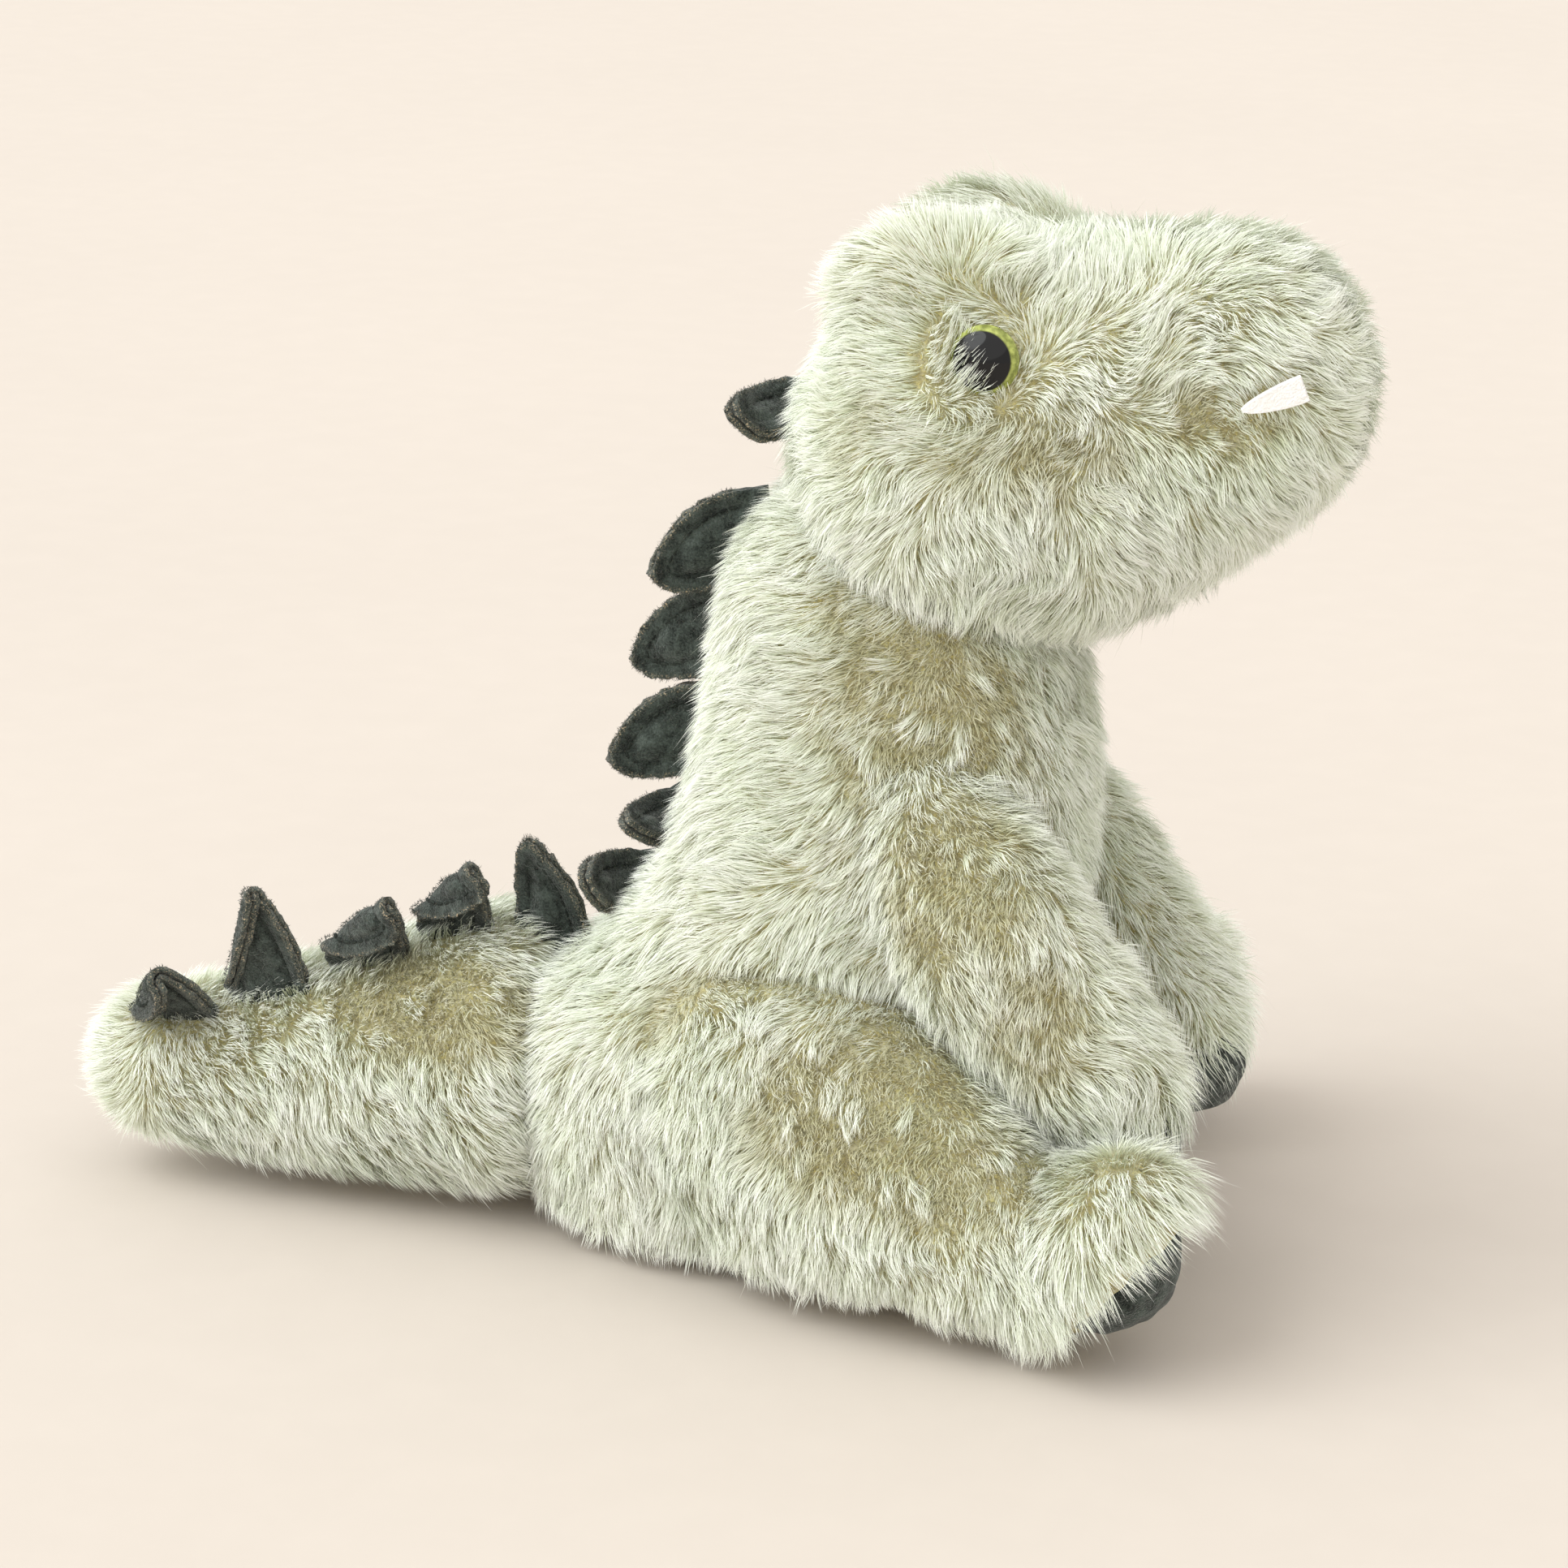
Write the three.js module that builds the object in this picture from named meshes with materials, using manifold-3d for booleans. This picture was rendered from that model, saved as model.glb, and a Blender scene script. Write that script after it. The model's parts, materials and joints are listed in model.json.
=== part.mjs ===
// A sitting plush dinosaur: fur-fabric skins sewn over fibre stuffing, felt spikes down the back,
// felt soles, palms and fangs, plastic safety eyes and a pellet bag in the seat.
// Millimetres, +Z up, nose towards +X, left side towards +Y. The origin is the centre of the seat panel
// on the surface that the toy sits on.
import * as THREE from "three";
import { mergeVertices } from "three/addons/utils/BufferGeometryUtils.js";
import Module from "manifold-3d";

const wasm = await Module();
wasm.setup();

// ---- Driving dimensions ----
const SKIN = 4; // fur fabric with its pile pressed flat
const GAP = 0.3; // between two pieces that touch
const SIDES = 14; // facets round a soft part
const RINGS = 11; // rings along a soft part
const COARSE = { sides: 10, rings: 8, sag: 3.2 }; // for what lies inside; its facets cut that much deeper
const SPARE = 3.2; // the room that a moving part has beyond its own surface
const SQUARENESS = 2.2; // 2 is an ellipse; a stuffed tube is a little squarer
const REACH = 400; // longer than the whole toy, for cutting planes

const SEAT = { middle: 10, length: 74, width: 22, thick: 4 };
const PELLETS = { at: [18, 0, 15], size: [32, 11, 14] };
const LEG_ROOM = 12; // how far from the middle plane the legs stay
const NECK_PIVOT = new THREE.Vector3(39, 0, 144);
const TAIL_PIVOT = new THREE.Vector3(-42, 0, 36);
const HIP = new THREE.Vector3(2, 27, 37); // left side; the right side mirrors it
const SHOULDER = new THREE.Vector3(54, 35, 111);
const NOD = [-10, 12]; // degrees, as are the other ranges
const TAIL_SWING = [-15, 15];
const LEG_SPLAY = [0, 14];
const LEG_TURN = { left: 25, right: 0 }; // how far each leg lies turned out at rest, past straight ahead
const ARM_SWING = [0, 38];

const FELT = 2.6; // a doubled, topstitched felt piece
const SPIKE = { width: 20, height: 21, tip: 3.2, root: 7 };
const PALM_DEPTH = 9; // how far the felt of a palm reaches up the paw
const FANG = {
  width: 6,
  height: 13,
  tip: 2,
  root: 4,
  thick: 1.6,
  at: [131, 29.5, 210],
  out: [-0.88, 0.3, -0.36],
};
const EYE = {
  radius: 8,
  dome: 5.2,
  flange: 1.2,
  shank: 2.2,
  shankLength: 12,
  sunk: 1.2,
  from: [56, 0, 209], // the line from the head's middle that the eye looks along
  looks: [0.34, 0.9, 0.14],
};
const WASHER = { radius: 6.5, thick: 2.2, stand: 7.6, room: 1 };
// Half sizes of the holes that a limb is stuffed through.
const OPENING = { leg: [13, 16, 10], arm: [9, 9, 9] };
const LEG_OPENING_AHEAD = 7; // how far the middle of a leg's opening lies past the start of its spine
const ARM_OPENING_IN = 14; // how far the middle of an arm's opening lies in from its spine
const ROUND = 14; // facets round a small part

// ---- Soft shapes: a spine of points, with the half-width and half-height of the section at each point ----
const TORSO = {
  spine: [
    [6, 0, -3], [12, 0, 22], [14, 0, 44], [18, 0, 60], [28, 0, 75],
    [37, 0, 97], [40, 0, 120], [40, 0, 144], [39, 0, 186],
  ],
  across: [34, 42, 45, 45, 44, 43, 41, 39, 37],
  along: [48, 61, 63, 60, 53, 48, 45, 41, 37],
  startRound: 0.05,
  endRound: 0.2,
  level: true, // its sections stay level instead of turning with the spine
};
const HEAD = {
  spine: [
    [17, 0, 193], [28, 0, 191], [42, 0, 190], [58, 0, 190], [76, 0, 192],
    [93, 0, 197], [109, 0, 203], [124, 0, 207], [142, 0, 211],
  ],
  across: [30, 36, 42, 45, 43, 38, 35, 32, 28],
  along: [32, 39, 45, 47, 46, 41, 36, 31, 25],
  startRound: 0.2,
  endRound: 0.16,
};
const BROW = { at: [55, 18, 222], size: [25, 15, 17] };
const TAIL = {
  spine: [[-27, 0, 36], [-48, 0, 35], [-72, -1, 31], [-98, -3, 27], [-126, -6, 24], [-154, -9, 23]],
  across: [33, 33, 30, 26, 22, 18],
  along: [33, 33, 29, 25, 21, 18],
  startRound: 0.22,
  endRound: 0.12,
};
const LEG = {
  spine: [[-18, 27, 36], [2, 27, 37], [25, 31, 37], [50, 38, 33], [74, 45, 26], [94, 50, 23]],
  across: [22, 25, 27, 26, 23, 19],
  along: [31, 34, 36, 33, 25, 19],
  startRound: 0.17,
  endRound: 0.14,
};
// The foot is a padded oval on the end of the leg, with its toes up; "faces" is where its sole looks.
const FOOT = { at: [97, 50, 27], size: [19, 22, 29], faces: [0.76, 0.16, -0.63], cap: 5 };
const ARMS = {
  left: { spine: [[42, 34, 130], [52, 34, 110], [68, 34, 85], [90, 29, 60], [108, 24, 36]] },
  right: { spine: [[46, 35, 131], [56, 36, 112], [72, 36, 86], [91, 29, 60], [104, 24, 38]] },
  across: [19, 20, 20, 19, 16],
  along: [19, 21, 23, 20, 16],
  startRound: 0.17,
  endRound: 0.14,
};

// Where the spikes stand along the back, from the head to the tail's end: each stands on the skin where
// a line from this point in the middle plane, at "rise" degrees above -X, comes out of the body. "roll"
// turns that line towards the right side, as the end of the tail is twisted, and "lean" is how far the
// spike flops to the right (negative) or left.
const SPIKES = [
  { from: [40, 187], rise: 0, roll: 0, lean: -46, body: "head" },
  { from: [39, 167], rise: -8, roll: 0, lean: -14, body: "torso" },
  { from: [39, 146], rise: -8, roll: 0, lean: 8, body: "torso" },
  { from: [37, 122], rise: -6, roll: 0, lean: -10, body: "torso" },
  { from: [30, 92], rise: 6, roll: 0, lean: -66, body: "torso" },
  { from: [12, 60], rise: 30, roll: 0, lean: -58, body: "torso" },
  { from: [-37, 40], rise: 84, roll: 3, lean: 8, body: "torso" },
  { from: [-60, 32], rise: 86, roll: 10, lean: -18, body: "tail" },
  { from: [-80, 30], rise: 86, roll: 20, lean: -14, body: "tail" },
  { from: [-105, 27], rise: 84, roll: 30, lean: 24, body: "tail" },
  { from: [-129, 24], rise: 82, roll: 42, lean: -4, body: "tail" },
];

// ---- Materials ----
const furSage = new THREE.MeshStandardMaterial({ color: 0xc9cbaa, roughness: 0.95, metalness: 0 });
const fibre = new THREE.MeshStandardMaterial({ color: 0xf2f0ea, roughness: 0.9, metalness: 0 });
const feltGrey = new THREE.MeshStandardMaterial({ color: 0x3f4744, roughness: 0.95, metalness: 0 });
const feltWhite = new THREE.MeshStandardMaterial({ color: 0xf6f4f2, roughness: 0.9, metalness: 0 });
const eyePlastic = new THREE.MeshStandardMaterial({ color: 0x0b0b0d, roughness: 0.08, metalness: 0 });
const washerPlastic = new THREE.MeshStandardMaterial({ color: 0xe6e6e0, roughness: 0.5, metalness: 0 });
const cotton = new THREE.MeshStandardMaterial({ color: 0xd9d2c2, roughness: 0.9, metalness: 0 });

// ---- Solids ----
function positionsOnly(geometry) {
  const bare = geometry.clone();
  bare.deleteAttribute("normal");
  bare.deleteAttribute("uv");
  return mergeVertices(bare, 1e-3);
}

function solidOf(geometry) {
  const merged = positionsOnly(geometry);
  return new wasm.Manifold(
    new wasm.Mesh({
      numProp: 3,
      vertProperties: merged.attributes.position.array,
      triVerts: new Uint32Array(merged.index.array),
    }),
  );
}

function meshOf(name, solid, material) {
  const { numProp, vertProperties, triVerts } = solid.getMesh();
  const points = [];
  for (let i = 0; i < vertProperties.length; i += numProp) {
    points.push(vertProperties[i], vertProperties[i + 1], vertProperties[i + 2]);
  }
  const geometry = new THREE.BufferGeometry();
  geometry.setAttribute("position", new THREE.Float32BufferAttribute(points, 3));
  geometry.setIndex(Array.from(triVerts));
  geometry.computeVertexNormals();
  const mesh = new THREE.Mesh(geometry, material);
  mesh.name = name;
  return mesh;
}

function block(low, high) {
  const size = high.map((top, i) => top - low[i]);
  const geometry = new THREE.BoxGeometry(...size);
  geometry.translate(...low.map((bottom, i) => bottom + size[i] / 2));
  return solidOf(geometry);
}

function opening(centre, halves) {
  const size = new THREE.Vector3(...halves);
  return block(centre.clone().sub(size).toArray(), centre.clone().add(size).toArray());
}

const aboveTable = block([-REACH, -REACH, 0], [REACH, REACH, REACH]);
const aboveSeat = block([-REACH, -REACH, SEAT.thick + GAP], [REACH, REACH, REACH]);
const middle = (half) => block([-REACH, -half, -REACH], [REACH, half, REACH]);
const leftHalf = block([-REACH, GAP / 2, -REACH], [REACH, REACH, REACH]);
const rightHalf = block([-REACH, -REACH, -REACH], [REACH, -GAP / 2, REACH]);

const vector = (point) => new THREE.Vector3(...point);
const onSide = ([x, y, z], sign) => new THREE.Vector3(x, sign * y, z);
const superPower = (value) => Math.sign(value) * Math.abs(value) ** (2 / SQUARENESS);

function roundOff(t, startRound, endRound) {
  const fromEnd = Math.max(0, 1 - t / startRound, 1 - (1 - t) / endRound);
  return Math.sqrt(Math.max(0, 1 - fromEnd ** 2));
}

// A unit sphere pulled out along a spine: its poles become the two ends.
function softGeometry(form, sides = SIDES, rings = RINGS) {
  const { spine, across, along, startRound, endRound, level = false } = form;
  const centre = new THREE.CatmullRomCurve3(spine.map(vector));
  const halves = new THREE.CatmullRomCurve3(across.map((half, i) => new THREE.Vector3(half, along[i], 0)));
  const geometry = new THREE.SphereGeometry(1, sides, rings);
  const places = geometry.attributes.position;
  for (let i = 0; i < places.count; i++) {
    const t = (1 - places.getY(i)) / 2;
    const u = centre.getUtoTmapping(t);
    const turn = Math.atan2(places.getZ(i), places.getX(i));
    const ahead = level ? UPWARDS : centre.getTangent(u);
    const side = new THREE.Vector3(0, 1, 0).addScaledVector(ahead, -ahead.y).normalize();
    const up = new THREE.Vector3().crossVectors(ahead, side);
    const half = halves.getPoint(u).multiplyScalar(roundOff(t, startRound, endRound));
    const point = centre
      .getPoint(u)
      .addScaledVector(side, half.x * superPower(Math.cos(turn)))
      .addScaledVector(up, half.y * superPower(Math.sin(turn)));
    places.setXYZ(i, point.x, point.y, point.z);
  }
  return geometry;
}

function grown(geometry, by) {
  const merged = positionsOnly(geometry);
  merged.computeVertexNormals();
  const { position, normal } = merged.attributes;
  for (let i = 0; i < position.count; i++) {
    position.setXYZ(
      i,
      position.getX(i) + normal.getX(i) * by,
      position.getY(i) + normal.getY(i) * by,
      position.getZ(i) + normal.getZ(i) * by,
    );
  }
  return merged;
}

// soft(TORSO)(by) is the torso's solid, grown by some millimetres.
const soft = (form) => {
  const geometry = softGeometry(form);
  return (by = 0) => solidOf(by ? grown(geometry, by) : geometry);
};
const coarse = (form, by) => solidOf(grown(softGeometry(form, COARSE.sides, COARSE.rings), by));
const roomFor = (form, by = 0) => coarse(form, SPARE + by);
const fillingOf = (form) => coarse(form, -SKIN - GAP - COARSE.sag);

function mirrored(form) {
  return { ...form, spine: form.spine.map(([x, y, z]) => [x, -y, z]) };
}

// The space a moving piece sweeps as it turns about an axis through pivot.
function swept(solid, pivot, axis, limits) {
  let space = solid;
  for (const limit of limits.filter((degrees) => degrees !== 0)) {
    space = space.add(solid.transform(turnAbout(pivot, axis, THREE.MathUtils.degToRad(limit))));
  }
  return space;
}

function turnAbout(pivot, axis, angle) {
  return new THREE.Matrix4()
    .makeTranslation(pivot.x, pivot.y, pivot.z)
    .multiply(new THREE.Matrix4().makeRotationAxis(axis, angle))
    .multiply(new THREE.Matrix4().makeTranslation(-pivot.x, -pivot.y, -pivot.z))
    .toArray();
}

const UPWARDS = new THREE.Vector3(0, 0, 1);
const RIGHTWARDS = new THREE.Vector3(0, -1, 0);
const mirrorPoint = (point) => new THREE.Vector3(point.x, -point.y, point.z);

// ---- Felt pieces: a rounded triangle standing on its root, its height along +Y and its faces along Z ----
function feltGeometry({ width, height, tip, root, thick = FELT }) {
  const shape = new THREE.Shape();
  shape.moveTo(-width / 2, -root);
  shape.lineTo(width / 2, -root);
  shape.lineTo(width / 2, 0);
  const [bulgeX, bulgeY] = [width / 2 - 1, height * 0.55];
  const [tipX, tipY] = [tip * 0.8, height - tip * 0.5];
  shape.quadraticCurveTo(bulgeX, bulgeY, tipX, tipY);
  shape.quadraticCurveTo(0, height + tip * 0.4, -tipX, tipY);
  shape.quadraticCurveTo(-bulgeX, bulgeY, -width / 2, 0);
  const cloth = { depth: thick, bevelEnabled: false, curveSegments: 4 };
  const geometry = new THREE.ExtrudeGeometry(shape, cloth);
  geometry.translate(0, 0, -thick / 2);
  return geometry;
}

// Stands a felt piece at a point: width along "wide", height along "out".
function standFelt(geometry, at, out, wide) {
  const flat = new THREE.Vector3().crossVectors(wide, out).normalize();
  const acrossIt = new THREE.Vector3().crossVectors(out, flat).normalize();
  const stand = new THREE.Matrix4().makeBasis(acrossIt, out.clone().normalize(), flat).setPosition(at);
  return solidOf(geometry.clone().applyMatrix4(stand));
}

// ---- The soft parts ----
const torsoSoft = soft(TORSO);
const headSoft = soft(HEAD);
const tailSoft = soft(TAIL);
const SIDES_OF_BODY = [["left", 1], ["right", -1]];

// A point or direction of the leg's own form, turned out about the hip and set on its side of the body.
function onLeg(point, side, sign, about = HIP) {
  const turn = THREE.MathUtils.degToRad(LEG_TURN[side]);
  const turned = vector(point).sub(about).applyAxisAngle(UPWARDS, turn).add(about);
  return new THREE.Vector3(turned.x, sign * turned.y, turned.z);
}

function legForm(side, sign) {
  return { ...LEG, spine: LEG.spine.map((point) => onLeg(point, side, sign).toArray()) };
}

const legSoft = { left: soft(legForm("left", 1)), right: soft(legForm("right", -1)) };
const armForm = (side) => ({ ...ARMS, ...ARMS[side] });
const armSoft = { left: soft(armForm("left")), right: soft(mirrored(armForm("right"))) };
const hipOf = { left: HIP, right: mirrorPoint(HIP) };
const shoulderOf = { left: SHOULDER, right: mirrorPoint(SHOULDER) };
const splayAxis = { left: UPWARDS, right: UPWARDS.clone().negate() };

function browSolid(side, by = 0) {
  const [x, y, z] = BROW.at;
  const geometry = new THREE.SphereGeometry(1, ROUND, RINGS - 2);
  geometry.scale(BROW.size[0] + by, BROW.size[1] + by, BROW.size[2] + by);
  geometry.translate(x, side * y, z);
  return solidOf(geometry);
}

const headShape = (by = 0) => headSoft(by).add(browSolid(1, by)).add(browSolid(-1, by));
const torsoShape = (by = 0) => torsoSoft(by).intersect(aboveTable);
const neckInHead = swept(roomFor(TORSO), NECK_PIVOT, RIGHTWARDS, NOD);

function armSpace(side, sign) {
  const form = sign > 0 ? armForm(side) : mirrored(armForm(side));
  return swept(roomFor(form, FELT), shoulderOf[side], RIGHTWARDS, ARM_SWING);
}

function legSpace(side, sign) {
  const tube = roomFor(legForm(side, sign)).subtract(middle(LEG_ROOM - SPARE));
  return swept(tube, hipOf[side], splayAxis[side], LEG_SPLAY);
}

// What the torso leaves free for the tail, the legs and the arms to turn in.
function limbSpace() {
  let space = swept(roomFor(TAIL), TAIL_PIVOT, UPWARDS, TAIL_SWING);
  for (const [side, sign] of SIDES_OF_BODY) {
    space = space.add(legSpace(side, sign)).add(armSpace(side, sign));
  }
  return space;
}
const freeSpace = limbSpace();

// ---- Seat and pellet bag ----
function ovalPlate(by, low, high) {
  const shape = new THREE.Shape();
  shape.absellipse(SEAT.middle, 0, SEAT.length / 2 + by, SEAT.width / 2 + by, 0, Math.PI * 2);
  const plate = { depth: high - low, bevelEnabled: false, curveSegments: ROUND };
  const geometry = new THREE.ExtrudeGeometry(shape, plate);
  geometry.translate(0, 0, low);
  return solidOf(geometry);
}

function pelletBag(by) {
  const geometry = new THREE.SphereGeometry(1, ROUND, RINGS - 2);
  geometry.scale(...PELLETS.size.map((half) => half + by));
  geometry.translate(...PELLETS.at);
  return solidOf(geometry).intersect(aboveSeat);
}

// ---- Eyes: a domed button with a shank through the skin, and the washer that locks it inside ----
function eyePlace(side) {
  const out = onSide(EYE.looks, side).normalize();
  const at = surfacePoint(headSoft(), new THREE.Vector3(...EYE.from), out).addScaledVector(out, -EYE.sunk);
  const turn = new THREE.Quaternion().setFromUnitVectors(new THREE.Vector3(0, 1, 0), out);
  return new THREE.Matrix4().compose(at, turn, new THREE.Vector3(1, 1, 1));
}

function eyeSolid(side) {
  const { radius, dome, flange, shank, shankLength } = EYE;
  const profile = [[0, -shankLength], [shank, -shankLength], [shank, 0], [radius, 0]];
  const steps = 5;
  for (let i = 0; i < steps; i++) {
    const rise = (Math.PI / 2) * (i / steps);
    profile.push([radius * Math.cos(rise), flange + dome * Math.sin(rise)]);
  }
  profile.push([0, flange + dome]);
  return turned(profile, side);
}

function washerSolid(side) {
  const { radius, thick, stand } = WASHER;
  const hole = EYE.shank + GAP;
  const [low, high] = [-stand - thick, -stand];
  return turned([[hole, low], [radius, low], [radius, high], [hole, high], [hole, low]], side);
}

// A profile of radius and height turned about the eye's axis.
function turned(profile, side) {
  const points = profile.map(([x, y]) => new THREE.Vector2(x, y));
  return solidOf(new THREE.LatheGeometry(points, ROUND).applyMatrix4(eyePlace(side)));
}

// A plain cylinder along the eye's axis, for the hole in the skin and the room round the washer.
function eyeRoom(side, radius, low, high) {
  const geometry = new THREE.CylinderGeometry(radius, radius, high - low, ROUND);
  geometry.translate(0, (low + high) / 2, 0);
  return solidOf(geometry.applyMatrix4(eyePlace(side)));
}

// ---- Assembly ----
const dinosaur = new THREE.Group();
const put = (name, solid, material) => dinosaur.add(meshOf(name, solid, material));

function addTorso() {
  const seatHole = ovalPlate(GAP, -REACH, SEAT.thick + SKIN);
  const inside = torsoSoft(-SKIN).intersect(aboveSeat);
  const shell = torsoShape().subtract(inside).subtract(freeSpace).subtract(seatHole);
  put("torso_skin_left", largest(shell.intersect(leftHalf)), furSage);
  put("torso_skin_right", largest(shell.intersect(rightHalf)), furSage);
  put("seat_panel", ovalPlate(0, 0, SEAT.thick), furSage);
  put("pellet_bag", pelletBag(0), cotton);
  const filling = fillingOf(TORSO).intersect(aboveSeat).subtract(freeSpace).subtract(pelletBag(GAP));
  put("torso_stuffing", largest(filling), fibre);
}

// Cutting can leave a sliver behind: the piece is the largest body.
function largest(solid) {
  return solid.decompose().reduce((a, b) => (b.volume() > a.volume() ? b : a));
}

function addHead() {
  const [deep, seat] = [-EYE.shankLength - WASHER.room, -GAP];
  const eyes = [1, -1].map((side) => eyeRoom(side, EYE.radius + GAP, seat, EYE.shankLength));
  const shanks = [1, -1].map((side) => eyeRoom(side, EYE.shank + GAP, deep, 0));
  const rooms = [1, -1].map((side) => eyeRoom(side, WASHER.radius + WASHER.room, deep, 0));
  let shell = headShape().subtract(headShape(-SKIN)).subtract(neckInHead);
  for (const cut of [...eyes, ...shanks]) {
    shell = shell.subtract(cut);
  }
  let filling = fillingOf(HEAD).subtract(neckInHead);
  for (const cut of [...rooms, ...eyes]) {
    filling = filling.subtract(cut);
  }
  put("head_skin_left", largest(shell.intersect(leftHalf)), furSage);
  put("head_skin_right", largest(shell.intersect(rightHalf)), furSage);
  put("head_stuffing", largest(filling), fibre);
  for (const [side, sign] of SIDES_OF_BODY) {
    put(`eye_${side}`, eyeSolid(sign), eyePlastic);
    put(`eye_washer_${side}`, washerSolid(sign), washerPlastic);
    put(`fang_${side}`, fangSolid(sign), feltWhite);
  }
}

// A fang's root is sewn in at the mouth's corner, and its point lies back along the cheek.
function fangSolid(sign) {
  const out = onSide(FANG.out, sign).normalize();
  return standFelt(feltGeometry(FANG), onSide(FANG.at, sign), out, UPWARDS).subtract(headShape(GAP));
}

function addTail() {
  const shell = tailSoft().subtract(tailSoft(-SKIN)).intersect(aboveTable);
  put("tail_skin_left", largest(shell.intersect(leftHalf)), furSage);
  put("tail_skin_right", largest(shell.intersect(rightHalf)), furSage);
  put("tail_stuffing", fillingOf(TAIL), fibre);
}

// Where a line from inside a solid comes out of it.
function surfacePoint(solid, from, out) {
  const start = from.clone().addScaledVector(out, REACH);
  const ray = new THREE.Raycaster(start, out.clone().negate());
  return ray.intersectObject(meshOf("body", solid, fibre))[0].point;
}

function addSpikes() {
  const bodies = {
    head: headShape(GAP).add(neckInHead),
    torso: torsoSoft(GAP).add(freeSpace),
    tail: tailSoft(GAP).add(torsoSoft(GAP)),
  };
  const skins = { head: headShape(), torso: torsoSoft(), tail: tailSoft() };
  SPIKES.forEach(({ from, rise, roll, lean, body }, i) => {
    const [up, turned, tilt] = [rise, roll, lean].map(THREE.MathUtils.degToRad);
    const upright = new THREE.Vector3(0, -Math.sin(turned), Math.cos(turned));
    const straight = new THREE.Vector3(-Math.cos(up), 0, 0).addScaledVector(upright, Math.sin(up));
    const alongBack = new THREE.Vector3(-Math.sin(up), 0, 0).addScaledVector(upright, -Math.cos(up));
    const at = surfacePoint(skins[body], new THREE.Vector3(from[0], 0, from[1]), straight);
    const leaning = straight.applyAxisAngle(alongBack, tilt);
    const solid = standFelt(feltGeometry(SPIKE), at, leaning, alongBack);
    put(`spike_${String(i + 1).padStart(2, "0")}`, largest(solid.subtract(bodies[body])), feltGrey);
  });
}

// A felt cap on the side of a padded oval that looks along "faces", past a plane "cap" from its middle.
function feltCap(oval, body, { at, faces, cap }) {
  const beyond = new THREE.BoxGeometry(REACH, REACH, REACH);
  beyond.translate(0, 0, cap + REACH / 2);
  const turn = new THREE.Quaternion().setFromUnitVectors(UPWARDS, faces);
  beyond.applyMatrix4(new THREE.Matrix4().compose(at, turn, new THREE.Vector3(1, 1, 1)));
  return oval(FELT + GAP).subtract(body(GAP)).intersect(solidOf(beyond));
}

// An oval whose short axis lies along "faces" and whose long axis stays as upright as it can.
function ovalPaw({ at, size, faces }) {
  const level = new THREE.Vector3().crossVectors(UPWARDS, faces).normalize();
  const raised = new THREE.Vector3().crossVectors(faces, level);
  const turn = new THREE.Matrix4().makeBasis(faces, level, raised).setPosition(at);
  return (by = 0) => {
    const geometry = new THREE.SphereGeometry(1, SIDES, RINGS - 1);
    geometry.scale(size[0] + by, size[1] + by, size[2] + by);
    return solidOf(geometry.applyMatrix4(turn));
  };
}

function legParts(side, sign) {
  const faces = onLeg(FOOT.faces, side, sign, new THREE.Vector3()).normalize();
  const place = { ...FOOT, at: onLeg(FOOT.at, side, sign), faces };
  const tube = legSoft[side];
  const oval = ovalPaw(place);
  const clearance = armSpace(side, sign).add(middle(LEG_ROOM));
  const whole = (by = 0) => tube(by).add(oval(by)).intersect(aboveTable).subtract(clearance);
  return { place, oval, whole };
}

function addLeg(side, sign) {
  const { place, oval, whole } = legParts(side, sign);
  const sole = largest(feltCap(oval, whole, place).intersect(aboveTable));
  const start = onLeg(LEG.spine[0], side, sign).add(new THREE.Vector3(LEG_OPENING_AHEAD, 0, 0));
  const shell = whole().subtract(whole(-SKIN)).subtract(opening(start, OPENING.leg));
  put(`leg_skin_${side}`, largest(shell), furSage);
  const clearance = armSpace(side, sign).add(middle(LEG_ROOM + SKIN + GAP));
  const filling = fillingOf(legForm(side, sign)).subtract(clearance);
  put(`leg_stuffing_${side}`, largest(filling), fibre);
  put(`foot_sole_${side}`, sole, feltGrey);
}

function addArm(side, sign) {
  const paw = armSoft[side];
  const { spine } = ARMS[side];
  const tip = onSide(spine.at(-1), sign);
  const wrist = onSide(spine.at(-2), sign);
  const faces = tip.clone().sub(wrist).normalize();
  const palm = feltCap(paw, paw, { at: tip, faces, cap: -PALM_DEPTH });
  const [x, y, z] = spine[1];
  const inner = onSide([x, y - ARM_OPENING_IN, z], sign);
  const shell = paw().subtract(paw(-SKIN)).subtract(opening(inner, OPENING.arm));
  put(`arm_skin_${side}`, largest(shell), furSage);
  put(`arm_stuffing_${side}`, fillingOf(sign > 0 ? armForm(side) : mirrored(armForm(side))), fibre);
  put(`hand_palm_${side}`, largest(palm), feltGrey);
}

addTorso();
addHead();
addTail();
addSpikes();
for (const [side, sign] of SIDES_OF_BODY) {
  addLeg(side, sign);
  addArm(side, sign);
}

export default dinosaur;
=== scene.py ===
"""A sitting plush dinosaur: fur over padded forms, felt spikes, soles, palms and fangs, and button eyes.

Metres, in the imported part's own frame: +Z up, the nose towards +X and the left side towards +Y. The padded
forms, their patches and the spikes' starts are given in millimetres in that frame, and the joints' places
are read from it. Fur and fuzz are real ribbons of mesh.
"""
import json
import logging
import math
from dataclasses import dataclass, field, replace
from enum import Enum
from typing import Callable, Sequence

import bpy
import numpy as np
from mathutils import Matrix, Vector
from mathutils.bvhtree import BVHTree


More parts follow.
